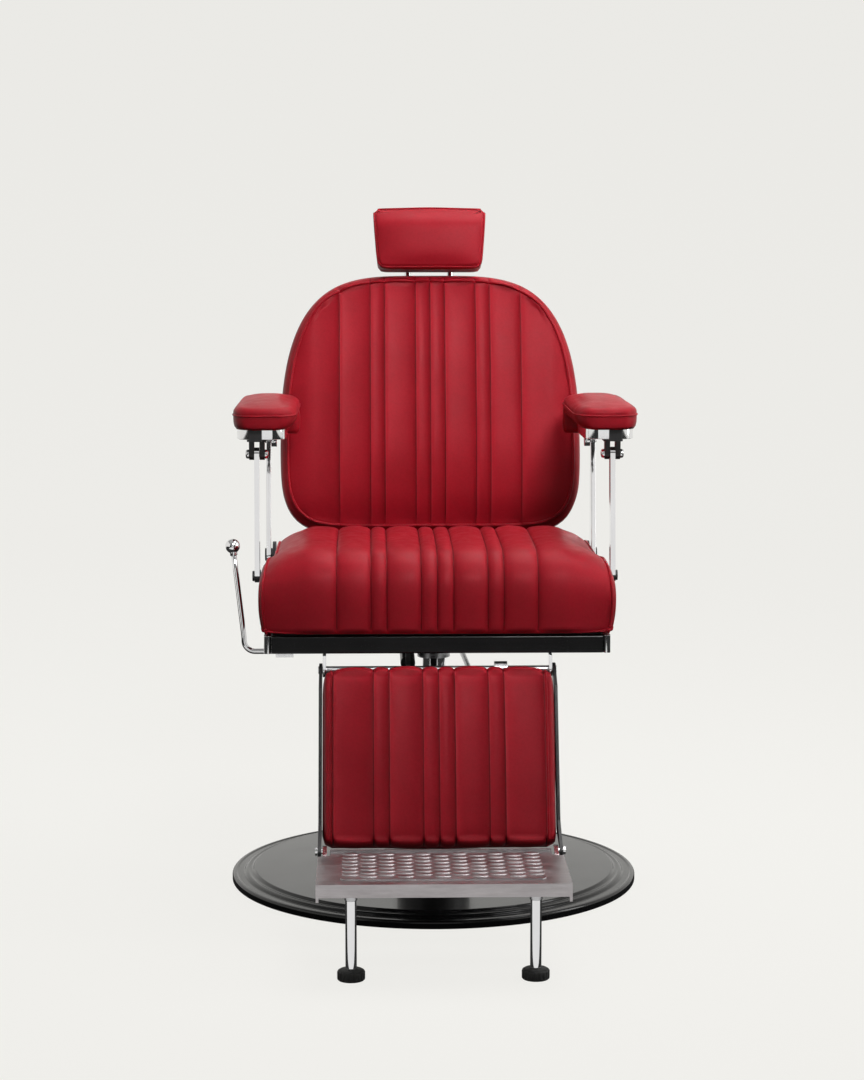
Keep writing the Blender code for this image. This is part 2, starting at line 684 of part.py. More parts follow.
def make_headrest(materials, post_joint, pad_joint):
    frame = back_frame_matrix()
    rods = [disc(POST_R, 0.200, TILT_U, 12, frame @ Matrix.Translation((side * POST_X, POST_N, 0.0)))
            for _, side in sides()]
    across = frame @ Matrix.Translation((0.0, POST_N, TILT_U)) @ Matrix.Rotation(math.pi / 2.0, 4, "Y")
    bridge = disc(0.0070, -POST_X - 0.0065, POST_X + 0.0065, 14, across)
    piece("headrest_post", materials["chrome"], post_joint, [bridge, *rods])
    rear = -0.050
    plate = block(-0.045, 0.045, rear - 0.006, rear - 0.0005, TILT_U - 0.028, TILT_U + 0.032, frame)
    ears = [prism(
        [(POST_N - 0.000, TILT_U - 0.0125), (rear - 0.003, TILT_U - 0.022), (rear - 0.003, TILT_U + 0.022),
         (POST_N - 0.000, TILT_U + 0.0125), (POST_N - 0.0110, TILT_U + 0.006),
         (POST_N - 0.0110, TILT_U - 0.006)],
        "X", *span(side, (0.012, 0.022)), frame) for _, side in sides()]
    hole = disc(0.0070 + RUN, -0.06, 0.06, 16, across)
    piece("headrest_bracket", materials["black_steel"], pad_joint, [plate, *ears], [hole])
    outline = [(-0.0915, 0.4665), (0.0915, 0.4665), (0.0955, 0.4790), (0.0998, 0.5700), (0.0960, 0.5760),
               (-0.0960, 0.5760), (-0.0998, 0.5700), (-0.0955, 0.4790)]
    pad = prism(outline, "Y", rear, 0.012, frame)
    corner = prism([(0.012 + 0.01, 0.548), (0.012, 0.548), (-0.010, 0.5760), (-0.010, 0.60), (0.022, 0.60)],
                   "X", -0.2, 0.2, frame)
    lower = prism([(0.022, 0.486), (0.012, 0.486), (-0.004, 0.4665), (-0.004, 0.45), (0.022, 0.45)],
                  "X", -0.2, 0.2, frame)
    piece("headrest_pad", materials["leather"], pad_joint, [pad], [corner, lower])


# ---------------------------------------------------------------- struts and arms

def make_front_strut(materials, joint, name, side):
    bottom = (FRONT_PIVOT.y, FRONT_PIVOT.z)
    top = (FRONT_PIVOT.y + STRUT_STEP.y, FRONT_PIVOT.z + STRUT_STEP.z)
    x0, x1 = span(side, FRONT_STRUT_X)
    bar = prism(link_outline(bottom, top, 0.0110, 0.0115), "X", x0, x1)
    foot_hole = cross_pin(FRONT_PIVOT, 0.0108, *span(side, (0.26, 0.32)), 18)
    chop = block(
        x0 - 0.01, x1 + 0.01, bottom[0] - 0.03, bottom[0] + 0.03, bottom[1] - 0.03, bottom[1] + 0.001)
    top_hole = cross_pin((0.0, *top), PIN_R + RUN, *span(side, (0.26, 0.32)), 12)
    piece(f"front_strut_{name}", materials["chrome"], joint, [bar], [foot_hole, chop, top_hole])
    bush = disc(0.0105, *span(side, (0.2835, 0.2935)), 18, along_x(Vector((0.0, *bottom))))
    bush_hole = cross_pin(FRONT_PIVOT, 0.006 + RUN, *span(side, (0.26, 0.32)), 12)
    piece(f"strut_bush_{name}", materials["plastic"], joint, [bush], [bush_hole])


def make_rear_strut(materials, joint, name, side):
    bottom = (RECLINE.y, RECLINE.z)
    top = (RECLINE.y + STRUT_STEP.y, RECLINE.z + STRUT_STEP.z)
    bar = prism(link_outline(bottom, top, 0.0180, 0.0115), "X", *span(side, REAR_STRUT_X))
    shaft_hole = cross_pin(RECLINE, SHAFT_R + RUN, *span(side, (0.26, 0.32)), 20)
    pin_hole = cross_pin((0.0, *top), PIN_R + RUN, *span(side, (0.26, 0.32)), 12)
    piece(f"rear_strut_{name}", materials["chrome"], joint, [bar], [shaft_hole, pin_hole])


def make_arm(materials, joint, name, side):
    front = FRONT_PIVOT + STRUT_STEP
    rear = RECLINE + STRUT_STEP
    low, high = HOUSING_BOTTOM, ARM_PAD_BOTTOM - 0.0005
    shell = prism(rounded_box_outline(*span(side, (0.2395, 0.3195)), -0.150, 0.116, 0.026, 5), "Z", low, high)
    tail = prism(rounded_box_outline(*span(side, (0.2690, 0.3000)), 0.090, 0.199, 0.010), "Z", low, high)
    boss = prism(
        arc(rear.y, rear.z, 0.0115, 180.0, 360.0, 8)
        + [(rear.y + 0.0115, low + 0.002), (rear.y - 0.0115, low + 0.002)],
        "X", *span(side, (0.2668, 0.2764)),
    )
    rear_pin = cross_pin(rear, PIN_R, *span(side, (0.2700, 0.2875)), 12)
    housing = [shell, tail, boss, rear_pin]
    piece(f"arm_housing_{name}", materials["chrome"], joint, housing)
    ears = []
    for limits in ((0.2765, 0.2845), (0.2935, 0.3015)):
        ears.append(prism(
            arc(front.y, front.z, 0.0095, 180.0, 360.0, 8)
            + [(front.y + 0.0110, low - 0.004), (front.y - 0.0110, low - 0.004)],
            "X", *span(side, limits),
        ))
    bridge = block(*span(side, (0.2735, 0.3045)), front.y - 0.015, front.y + 0.015, low - 0.0065, low - GAP)
    shank = cross_pin(front, PIN_R, *span(side, (0.2735, 0.3045)), 12)
    heads = [disc(0.0068, *span(side, limits), 12, along_x(Vector((0.0, front.y, front.z))))
             for limits in ((0.2715, 0.2770), (0.3010, 0.3065))]
    piece(f"arm_clevis_{name}", materials["black_steel"], joint, [bridge, *ears, shank, *heads])
    section = [(ARM_FRONT + 0.006, ARM_PAD_BOTTOM), (ARM_REAR - 0.004, ARM_PAD_BOTTOM),
               (ARM_REAR, ARM_PAD_BOTTOM + 0.015), (ARM_REAR - 0.006, ARM_PAD_TOP - 0.010),
               (ARM_REAR - 0.030, ARM_PAD_TOP - 0.003), (0.030, ARM_PAD_TOP), (-0.060, ARM_PAD_TOP),
               (ARM_FRONT + 0.040, ARM_PAD_TOP - 0.003), (ARM_FRONT + 0.010, ARM_PAD_TOP - 0.014),
               (ARM_FRONT, ARM_PAD_TOP - 0.024)]
    pad = prism(section, "X", *span(side, (ARM_IN, ARM_OUT)))
    drop = block(*span(side, (ARM_IN + 0.002, 0.2600)), 0.122, 0.158, 0.7440, ARM_PAD_BOTTOM + 0.01)
    bevels = []
    for x, inwards in ((ARM_IN, 1.0), (ARM_OUT, -1.0)):
        wedge = [(x - inwards * 0.01, 0.7975), (x, 0.7975), (x + inwards * 0.020, ARM_PAD_TOP + 0.0005),
                 (x + inwards * 0.020, 0.83), (x - inwards * 0.01, 0.83)]
        bevels.append(prism([(side * px, pz) for px, pz in wedge], "Y", -0.3, 0.3))
    piece(f"arm_pad_{name}", materials["leather"], joint, [pad, drop], bevels)


# ---------------------------------------------------------------- sync rod and leg rest

def make_sync_rod(materials, joint):
    """The rod that carries the back's motion to the leg rest, offset sideways past the ram."""
    rear = crank_pin(RECLINE, SYNC_CRANK)
    front = crank_pin(LEG_PIVOT, SYNC_CRANK)
    rear_at = Vector((SYNC_REAR_X + 0.0060, rear.y, rear.z))
    front_at = Vector((SYNC_FRONT_X - 0.0060, front.y, front.z))
    rod = swept([rear_at, front_at], 0.0045, 10)
    eyes = [disc(0.0095, centre.x - 0.0040, centre.x + 0.0040, 14, along_x(Vector((0.0, centre.y, centre.z))))
            for centre in (rear_at, front_at)]
    holes = [disc(0.0043, centre.x - 0.012, centre.x + 0.012, 12, along_x(Vector((0.0, centre.y, centre.z))))
             for centre in (rear_at, front_at)]
    piece("sync_rod", materials["steel"], joint, [rod, *eyes], holes)


def make_legrest(materials, joint):
    frame = leg_frame_matrix()
    length = (LEG_FOOT - LEG_TOP).length
    outline = (
        [(-LEG_HALF + 0.002, length)]
        + [(-LEG_HALF, length * 0.5), (-LEG_HALF + 0.001, 0.055),
           (-LEG_HALF + 0.009, 0.018), (-LEG_HALF + 0.026, 0.004)]
        + [(-LEG_HALF + 0.060, 0.0), (LEG_HALF - 0.060, 0.0)]
        + [(LEG_HALF - 0.026, 0.004), (LEG_HALF - 0.009, 0.018),
           (LEG_HALF - 0.001, 0.055), (LEG_HALF, length * 0.5)]
        + [(LEG_HALF - 0.002, length)]
    )
    pad = prism(outline, "Y", -LEG_PAD_T, 0.0, frame)
    roll_profile = [(0.01, -0.01), (0.01, 0.022), (0.0, 0.022), (-0.014, 0.0), (-0.014, -0.01)]
    roll = prism(roll_profile, "X", -0.3, 0.3, frame)
    piece("legrest_pad", materials["leather"], joint, [pad], [roll])
    board_n = -LEG_PAD_T - 0.0005
    board = prism(rounded_box_outline(-LEG_HALF, LEG_HALF, 0.022, length - 0.006, 0.015), "Z", 0.0, 0.008)
    turn = Matrix(((1, 0, 0, 0), (0, 0, 1, board_n - 0.008), (0, 1, 0, 0), (0, 0, 0, 1)))
    finish(board, frame @ turn)
    piece("legrest_board", materials["black_steel"], joint, [board])
    shaft = cross_pin(LEG_PIVOT, 0.006, -0.1880, 0.1880, 14)
    arm = crank(LEG_PIVOT, 0.006, SYNC_CRANK, (SYNC_FRONT_X - 0.0015, SYNC_FRONT_X + 0.0050),
                (SYNC_FRONT_X - 0.0120, SYNC_FRONT_X))
    piece("legrest_shaft", materials["steel"], joint, [shaft, *arm])
    to_world = [frame @ Vector((0.0, n, s)) for n, s in
                ((-0.026, 0.030), (-0.026, length - 0.040), (-0.052, length - 0.030), (-0.052, 0.040))]
    upper_front, lower_front, lower_rear, upper_rear = [(p.y, p.z) for p in to_world]
    rail_outline = (
        arc(LEG_PIVOT.y, LEG_PIVOT.z, 0.0105, 140.0, -40.0, 7)
        + [upper_rear, lower_rear]
        + arc(TOE_PIVOT.y, TOE_PIVOT.z, 0.0090, 10.0, -190.0, 8)
        + [lower_front, upper_front]
    )
    for name, side in sides():
        rail = prism(rail_outline, "X", *span(side, LEG_RAIL_X))
        holes = [cross_pin(LEG_PIVOT, 0.006 + RUN, *span(side, (0.175, 0.2)), 14),
                 cross_pin(TOE_PIVOT, 0.004 + RUN, *span(side, (0.175, 0.2)), 12)]
        piece(f"legrest_rail_{name}", materials["black_steel"], joint, [rail], holes)


# ---------------------------------------------------------------- footplate

def make_footplate(materials, joint):
    bottom = STEP_TOP - STEP_T
    outline = [
        (-STEP_NECK_HALF, STEP_REAR), (-STEP_NECK_HALF, STEP_WIDE), (-STEP_HALF, STEP_WIDE - 0.004),
        (-STEP_HALF, STEP_FRONT), (STEP_HALF, STEP_FRONT), (STEP_HALF, STEP_WIDE - 0.004),
        (STEP_NECK_HALF, STEP_WIDE), (STEP_NECK_HALF, STEP_REAR),
    ]
    plate = prism(outline, "Z", bottom, STEP_TOP)
    lip = block(-STEP_HALF, STEP_HALF, STEP_FRONT, STEP_FRONT + 0.005, 0.1315, STEP_TOP)
    flange = [
        (STEP_WIDE - 0.006, STEP_TOP), (STEP_WIDE - 0.004, STEP_TOP - 0.008),
        (STEP_WIDE - 0.014, STEP_TOP - 0.020),
        (STEP_FRONT + 0.050, STEP_TOP - 0.0225), (STEP_FRONT, 0.1245), (STEP_FRONT, STEP_TOP),
    ]
    flanges = [prism(flange, "X", *span(side, (STEP_HALF - 0.004, STEP_HALF))) for _, side in sides()]
    riser = block(-STEP_NECK_HALF, STEP_NECK_HALF, STEP_REAR - 0.004, STEP_REAR, bottom, STEP_TOP + 0.004)
    tread_outline = rounded_box_outline(-0.150, 0.150, -0.612, -0.458, 0.008)
    tread = prism(tread_outline, "Z", STEP_TOP - 0.002, STEP_TOP + 0.0018)
    piece("footplate", materials["cast_aluminium"], joint, [plate, lip, *flanges, riser, tread])
    for name, side in sides():
        ear = prism(link_outline((TOE_PIVOT.y, TOE_PIVOT.z), (-0.462, STEP_TOP - 0.013), 0.0085, 0.006), "X",
                    *span(side, (0.1725, 0.1788)))
        stub = cross_pin(TOE_PIVOT, 0.004, *span(side, (0.1730, 0.1885)), 12)
        head = cross_pin(TOE_PIVOT, 0.0065, *span(side, (0.1870, 0.1905)), 12)
        under = block(*span(side, (0.168, 0.20)), -0.50, STEP_WIDE - 0.0005, 0.12, 0.17)
        piece(f"toe_link_{name}", materials["chrome"], joint, [ear, stub, head], [under])
        axis = Matrix.Translation((side * FOOT_X, FOOT_Y, 0.0))
        piece(f"foot_post_{name}", materials["chrome"], joint, [
            disc(POST_TUBE_R, FOOT_H + GAP, 0.1300, 18, axis),
            disc(0.0095, 0.1225, bottom - GAP, 18, axis),
        ])
        piece(f"rubber_foot_{name}", materials["rubber"], joint, [turned(
            [(0.0, 0.0), (FOOT_R - 0.0015, 0.0), (FOOT_R, 0.0015), (FOOT_R, FOOT_H - 0.004),
             (FOOT_R - 0.003, FOOT_H - 0.0006), (0.0, FOOT_H)],
            24, axis,
        )])


# ---------------------------------------------------------------- assembly

def main():
    clear_scene()
    materials = make_materials()
    base = empty("base_joint", (0.0, 0.0, 0.0))
    lift = empty("lift_joint", (0.0, 0.0, CYLINDER_TOP), base)
    swivel = empty("swivel_joint", (0.0, 0.0, 0.3872), lift)
    pedal = empty("pedal_joint", PEDAL_PIVOT, base)
    plunger = empty("plunger_joint", (0.0, PLUNGER_Y, 0.062), base)
    lever = empty("lever_joint", LEVER_AXIS, swivel)
    spring_rod = empty("spring_rod_joint", (SPRING_X, 0.045, SPRING_Z), swivel)
    recline = empty("recline_joint", RECLINE, swivel)
    sync = empty("sync_joint", crank_pin(RECLINE, SYNC_CRANK), recline)
    legrest = empty("legrest_joint", LEG_PIVOT, swivel)
    footplate = empty("footplate_joint", TOE_PIVOT, legrest)
    frame = back_frame_matrix()
    post = empty("headrest_post_joint", frame @ Vector((0.0, POST_N, 0.430)), recline)
    tilt = empty("headrest_tilt_joint", frame @ Vector((0.0, POST_N, TILT_U)), post)
    knob = empty("knob_joint", frame @ Vector((0.0, POST_N, 0.380)), recline)

    make_base(materials, base)
    make_pump(materials, base)
    make_pedal(materials, pedal, plunger)
    make_ram(materials, lift)
    make_seat_frame(materials, swivel)
    make_seat_cushion(materials, swivel)
    make_gas_spring(materials, swivel, spring_rod)
    make_lever(materials, swivel, lever)
    make_back(materials, recline)
    make_knob(materials, knob)
    make_headrest(materials, post, tilt)
    make_sync_rod(materials, sync)
    make_legrest(materials, legrest)
    make_footplate(materials, footplate)
    for name, side in sides():
        strut = empty(f"strut_joint_{name}", FRONT_PIVOT, swivel)
        arm = empty(f"arm_joint_{name}", FRONT_PIVOT + STRUT_STEP, strut)
        make_side(materials, swivel, name, side)
        make_front_strut(materials, strut, name, side)
        make_rear_strut(materials, recline, name, side)
        make_arm(materials, arm, name, side)


main()
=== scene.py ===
import json
from math import ceil, cos, pi, radians, sin

import bmesh
import bpy
import numpy as np
from mathutils import Matrix, Vector
from mathutils.kdtree import KDTree


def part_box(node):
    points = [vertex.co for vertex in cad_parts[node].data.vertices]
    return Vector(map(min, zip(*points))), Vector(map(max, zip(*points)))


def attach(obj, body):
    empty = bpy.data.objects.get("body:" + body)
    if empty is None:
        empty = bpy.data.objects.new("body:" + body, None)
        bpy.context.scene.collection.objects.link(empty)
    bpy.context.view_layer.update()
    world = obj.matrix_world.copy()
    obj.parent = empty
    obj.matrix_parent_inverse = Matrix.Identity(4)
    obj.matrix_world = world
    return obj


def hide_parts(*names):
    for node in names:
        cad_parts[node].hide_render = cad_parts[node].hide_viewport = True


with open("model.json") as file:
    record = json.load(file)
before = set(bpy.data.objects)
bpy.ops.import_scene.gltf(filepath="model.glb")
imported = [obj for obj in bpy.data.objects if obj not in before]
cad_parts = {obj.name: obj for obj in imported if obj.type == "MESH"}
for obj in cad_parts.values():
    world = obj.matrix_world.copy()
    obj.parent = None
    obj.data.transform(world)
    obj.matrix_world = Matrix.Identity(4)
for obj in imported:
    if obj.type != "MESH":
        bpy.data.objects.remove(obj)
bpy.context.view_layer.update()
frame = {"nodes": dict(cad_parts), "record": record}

NODES = frame["nodes"]
BODY_OF = {node: body for body, nodes in frame["record"]["behaviour"]["bodies"].items() for node in nodes}
SLOT_OF = {row["node"]: row["material_slot"] for row in frame["record"]["subparts"]}
SIDES = (("left", -1.0), ("right", 1.0))

# Planes of the cushions, as in the CAD
RAKE = radians(13.5)
BACK_FOOT = Vector((0.0, 0.16, 0.57))
LEG_TOP = Vector((0.0, -0.318, 0.418))
LEG_FOOT = Vector((0.0, -0.42, 0.157))
TILT_U = 0.512
POST_N = -0.09

# Seams of the sewn channels, as distances from the middle of each cushion
CHANNELS = (0.0, 0.0256, 0.0795, 0.1046, 0.1585)
CHANNEL_COLUMNS_END = 0.17
CHANNEL_SEAMS_END = 0.176
LEG_CHANNELS = (0.0, 0.0246, 0.0768, 0.1013)
LEG_BORDER_SEAM = 0.1636

# Shading and edges of the hard pieces
FLAT_ANGLE = radians(0.4)
BEVEL_ANGLE = radians(32.0)
SMOOTH_ANGLE = radians(42.0)
FACE_WEIGHT = 60

# Cloth that blows the cushions up
CLOTH_FRAMES = 20
CLOTH_STIFFNESS = 18.0
CLOTH_BENDING = 1.5
CLOTH_PRESSURE = 4.0
CLOTH_NEIGHBOURS = 6
CLOTH_REACH = 0.0015


# ---------------------------------------------------------------- materials

class Nodes:
    """A small helper that adds and links shader nodes of one material."""

    def __init__(self, name):
        self.material = bpy.data.materials.new(name)
        self.material.use_nodes = True
        self.tree = self.material.node_tree
        self.shader = self.tree.nodes["Principled BSDF"]
        self.place = self.add("ShaderNodeTexCoord").outputs["Object"]

    def add(self, kind, **settings):
        node = self.tree.nodes.new(kind)
        for key, value in settings.items():
            setattr(node, key, value)
        return node

    def link(self, output, socket):
        self.tree.links.new(output, socket)

    def noise(self, scale, detail=3.0, roughness=0.55, stretch=None):
        node = self.add("ShaderNodeTexNoise")
        node.inputs["Scale"].default_value = scale
        node.inputs["Detail"].default_value = detail
        node.inputs["Roughness"].default_value = roughness
        place = self.place
        if stretch is not None:
            mapping = self.add("ShaderNodeMapping")
            mapping.inputs["Scale"].default_value = stretch
            self.link(place, mapping.inputs["Vector"])
            place = mapping.outputs["Vector"]
        self.link(place, node.inputs["Vector"])
        return node.outputs["Fac"]

    def voronoi(self, scale):
        node = self.add("ShaderNodeTexVoronoi")
        node.inputs["Scale"].default_value = scale
        self.link(self.place, node.inputs["Vector"])
        return node.outputs["Distance"]

    def ramp(self, value, low, high, at=(0.0, 1.0)):
        """A value between two positions mapped between two colours or two greys."""
        node = self.add("ShaderNodeValToRGB")
        for stop, position, colour in zip(node.color_ramp.elements, at, (low, high)):
            stop.position = position
            stop.color = (colour, colour, colour, 1.0) if isinstance(colour, float) else (*colour, 1.0)
        self.link(value, node.inputs["Fac"])
        return node.outputs["Color"]

    def mix(self, factor, first, second, blend="MIX"):
        node = self.add("ShaderNodeMix", data_type="RGBA", blend_type=blend)
        if isinstance(factor, float):
            node.inputs["Factor"].default_value = factor
        else:
            self.link(factor, node.inputs["Factor"])
        for socket, value in ((node.inputs["A"], first), (node.inputs["B"], second)):
            if isinstance(value, tuple):
                socket.default_value = (*value, 1.0)
            else:
                self.link(value, socket)
        return node.outputs["Result"]

    def bump(self, height, distance, strength, under=None):
        node = self.add("ShaderNodeBump")
        node.inputs["Distance"].default_value = distance
        node.inputs["Strength"].default_value = strength
        self.link(height, node.inputs["Height"])
        if under is not None:
            self.link(under, node.inputs["Normal"])
        return node.outputs["Normal"]

    def set(self, **values):
        for key, value in values.items():
            socket = self.shader.inputs[key.replace("_", " ")]
            if hasattr(value, "is_output"):
                self.link(value, socket)
            else:
                socket.default_value = (*value, 1.0) if isinstance(value, tuple) else value
        return self.material


def leather_material(name):
    """Smooth red upholstery leather: fine grain, slow mottling, and painted shade that darkens the creases
    of the stitched seams.
    """
    n = Nodes(name)
    mottle = n.ramp(n.noise(9.0, 4.0), (0.33, 0.0065, 0.015), (0.4, 0.009, 0.02), (0.3, 0.72))
    fine = n.ramp(n.noise(260.0, 2.0), 0.9, 1.0, (0.3, 0.6))
    colour = n.mix(1.0, mottle, fine, "MULTIPLY")
    # Painted shade: the seam attribute darkens the colour to a near-black red along each seam crease.
    seam = n.add("ShaderNodeAttribute", attribute_name="seam").outputs["Fac"]
    colour = n.mix(seam, colour, (0.06, 0.0016, 0.003))
    grain = n.voronoi(950.0)
    soft = n.noise(120.0)
    creased = n.bump(n.noise(26.0, 4.0, 0.6), 0.0012, 0.16)
    wavy = n.bump(soft, 0.0006, 0.14, creased)
    return n.set(
        Base_Color=colour,
        Roughness=n.ramp(n.noise(60.0, 3.0), 0.4, 0.52, (0.3, 0.7)),
        Specular_IOR_Level=0.22,
        Specular_Tint=(1.0, 0.5, 0.52),
        Sheen_Weight=0.03,
        Sheen_Roughness=0.45,
        Sheen_Tint=(1.0, 0.35, 0.35),
        Normal=n.bump(grain, 0.00022, 0.3, wavy),
    )


def chrome_material():
    """Chrome plate with faint wiping marks."""
    n = Nodes("chrome")
    wiped = n.noise(35.0, 4.0, 0.6, (1.0, 1.0, 0.25))
    scratches = n.noise(420.0, 2.0, 0.5, (1.0, 1.0, 0.06))
    return n.set(
        Base_Color=n.ramp(wiped, (0.8, 0.8, 0.81), (0.87, 0.87, 0.88), (0.3, 0.7)),
        Metallic=1.0,
        Roughness=n.ramp(wiped, 0.035, 0.085, (0.35, 0.75)),
        Normal=n.bump(scratches, 0.00006, 0.1),
    )


def steel_material():
    """Satin steel, brushed along X."""
    n = Nodes("brushed_steel")
    brushed = n.noise(300.0, 3.0, 0.6, (0.05, 1.0, 1.0))
    return n.set(
        Base_Color=n.ramp(brushed, (0.47, 0.47, 0.48), (0.6, 0.6, 0.61), (0.3, 0.7)),
        Metallic=1.0,
        Roughness=n.ramp(brushed, 0.24, 0.4, (0.3, 0.7)),
        Normal=n.bump(brushed, 0.0001, 0.2),
    )


def gloss_black_material():
    """Thick black gloss paint with faint orange peel and a little dust."""
    n = Nodes("gloss_black")
    dust = n.ramp(n.noise(520.0, 2.0), (0.0065, 0.0065, 0.007), (0.03, 0.03, 0.031), (0.66, 0.86))
    return n.set(
        Base_Color=dust,
        Roughness=n.ramp(n.noise(14.0, 4.0), 0.15, 0.24, (0.3, 0.75)),
        Specular_IOR_Level=0.22,
        Coat_Weight=0.28,
        Coat_Roughness=0.05,
        Normal=n.bump(n.noise(160.0, 2.0), 0.00025, 0.1),
    )


def black_steel_material():
    """Satin black powder coat."""
    n = Nodes("black_steel")
    return n.set(
        Base_Color=n.ramp(n.noise(24.0, 4.0), (0.011, 0.011, 0.012), (0.02, 0.02, 0.021), (0.3, 0.7)),
        Roughness=n.ramp(n.noise(70.0, 3.0), 0.32, 0.46, (0.3, 0.7)),
        Normal=n.bump(n.noise(900.0, 2.0), 0.00018, 0.25),
    )


def aluminium_material():
    """Cast aluminium, ground and polished by shoes, slightly warm."""
    n = Nodes("cast_aluminium")
    ground = n.noise(210.0, 4.0, 0.65, (0.12, 1.0, 1.0))
    cloudy = n.noise(30.0, 4.0)
    return n.set(
        Base_Color=n.mix(0.5, n.ramp(ground, (0.34, 0.315, 0.322), (0.54, 0.51, 0.52), (0.3, 0.7)),
                         n.ramp(cloudy, (0.38, 0.355, 0.36), (0.5, 0.475, 0.485), (0.3, 0.7))),
        Metallic=1.0,
        Roughness=n.ramp(cloudy, 0.33, 0.45, (0.3, 0.7)),
        Normal=n.bump(ground, 0.00012, 0.22, n.bump(n.noise(520.0, 3.0), 0.0002, 0.25)),
    )


def rubber_material():
    n = Nodes("rubber")
    return n.set(
        Base_Color=n.ramp(n.noise(90.0, 4.0), (0.01, 0.01, 0.01), (0.022, 0.022, 0.021), (0.35, 0.75)),
        Roughness=n.ramp(n.noise(40.0, 3.0), 0.55, 0.75, (0.3, 0.7)),
        Normal=n.bump(n.noise(650.0, 3.0), 0.0002, 0.3),
    )


def plastic_material():
    n = Nodes("black_plastic")
    return n.set(
        Base_Color=n.ramp(n.noise(50.0, 3.0), (0.012, 0.012, 0.012), (0.018, 0.018, 0.018), (0.3, 0.7)),
        Roughness=n.ramp(n.noise(120.0, 2.0), 0.34, 0.44, (0.3, 0.7)),
        Normal=n.bump(n.voronoi(1400.0), 0.00008, 0.25),
    )


LOOKS = {
    "red_leather": leather_material("red_leather"),
    "chrome": chrome_material(),
    "steel": steel_material(),
    "gloss_black": gloss_black_material(),
    "black_steel": black_steel_material(),
    "cast_aluminium": aluminium_material(),
    "rubber": rubber_material(),
    "black_plastic": plastic_material(),
}


# ---------------------------------------------------------------- mesh helpers

def add_object(name, vertices, faces, slot, body, smooth=180.0):
    """A mesh in the row frame that rides on a body."""
    mesh = bpy.data.meshes.new(name)
    mesh.from_pydata([tuple(map(float, v)) for v in vertices], [], [tuple(f) for f in faces])
    mesh.validate()
    tidy_mesh(mesh, smooth)
    piece = dress(name, mesh, slot, body)
    if smooth < 180.0:
        flatten_shading(piece)
    return piece


def layer_faces(layers, count, start=0):
    """Faces between layers of equal rings of vertices, with both ends closed."""
    last = start + (layers - 1) * count
    faces = [tuple(range(start, start + count)), tuple(range(last, last + count))]
    for near in range(start, last, count):
        for k in range(count):
            m = (k + 1) % count
            faces.append((near + k, near + m, near + count + m, near + count + k))
    return faces


def flatten_shading(piece):
    """Keeps the shading of wide faces flat beside their small rounded edges."""
    weighted = piece.modifiers.new("weighted_normal", "WEIGHTED_NORMAL")
    weighted.keep_sharp = True
    weighted.weight = FACE_WEIGHT


def tidy_mesh(mesh, smooth=180.0):
    """Outward normals, and smooth shading up to an angle in degrees."""
    shape = bmesh.new()
    shape.from_mesh(mesh)
    bmesh.ops.recalc_face_normals(shape, faces=shape.faces)
    shape.to_mesh(mesh)
    shape.free()
    mesh.shade_smooth()
    if smooth < 180.0:
        mesh.set_sharp_from_angle(angle=radians(smooth))


def new_object(name, data):
    obj = bpy.data.objects.new(name, data)
    bpy.context.scene.collection.objects.link(obj)
    return obj


def dress(name, mesh, slot, body):
    """A new object with the look of its slot, riding on its body."""
    obj = new_object(name, mesh)
    mesh.materials.clear()
    mesh.materials.append(LOOKS[slot])
    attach(obj, body)
    return obj


def fillet(points, radius, steps=3):
    """An open polyline with its inner corners rounded."""
    points = [np.array(p, float) for p in points]
    out = [points[0]]
    for before, corner, after in zip(points, points[1:], points[2:]):
        to_before, to_after = before - corner, after - corner
        reach = min(radius, 0.45 * np.linalg.norm(to_before), 0.45 * np.linalg.norm(to_after))
        start = corner + to_before / np.linalg.norm(to_before) * reach
        end = corner + to_after / np.linalg.norm(to_after) * reach
        for k in range(steps + 1):
            t = k / steps
            out.append((1 - t) ** 2 * start + 2 * t * (1 - t) * corner + t * t * end)
    out.append(points[-1])
    return out


def lathe(name, profile, segments, matrix, slot, body, smooth=40.0, ribs=None):
    """A profile of (radius, height) turned about the Z of a matrix.
    ribs is (low, high, count, depth) for a gripped rim."""
    vertices = []
    for i in range(segments):
        turn = 2.0 * pi * i / segments
        for radius, height in profile:
            if ribs and ribs[0] <= height <= ribs[1]:
                radius = radius - ribs[3] * (0.5 - 0.5 * cos(ribs[2] * turn)) ** 2
            vertices.append(matrix @ Vector((radius * cos(turn), radius * sin(turn), height)))
    count = len(profile)
    faces = []
    for i in range(segments):
        j = (i + 1) % segments
        for k in range(count - 1):
            faces.append((i * count + k, j * count + k, j * count + k + 1, i * count + k + 1))
    faces.append([i * count for i in range(segments)])
    faces.append([i * count + count - 1 for i in range(segments)])
    return add_object(name, vertices, faces, slot, body, smooth)


def tube_shape(path, radius, segments, closed):
    """Vertices and faces of a round tube along a path."""
    path = [Vector(p) for p in path]
    count = len(path)
    vertices, side = [], None
    for i, point in enumerate(path):
        before = path[(i - 1) % count] if closed else path[max(i - 1, 0)]
        after = path[(i + 1) % count] if closed else path[min(i + 1, count - 1)]
        heading = (after - before).normalized()
        side = heading.orthogonal() if side is None else side
        side = (side - heading * side.dot(heading)).normalized()
        other = heading.cross(side)
        for k in range(segments):
            turn = 2.0 * pi * k / segments
            vertices.append(point + radius * (side * cos(turn) + other * sin(turn)))
    faces = []
    twist = 0
    if closed:
        first, last = vertices[0], vertices[-segments:]
        twist = min(range(segments), key=lambda k: (last[k] - first).length)
    for i in range(count if closed else count - 1):
        j = (i + 1) % count
        shift = twist if j == 0 else 0
        for k in range(segments):
            m = (k + 1) % segments
            near = (i * segments + (k + shift) % segments, i * segments + (m + shift) % segments)
            faces.append((near[0], near[1], j * segments + m, j * segments + k))
    if not closed:
        faces.append(list(range(segments)))
        faces.append(list(range((count - 1) * segments, count * segments)))
    return vertices, faces


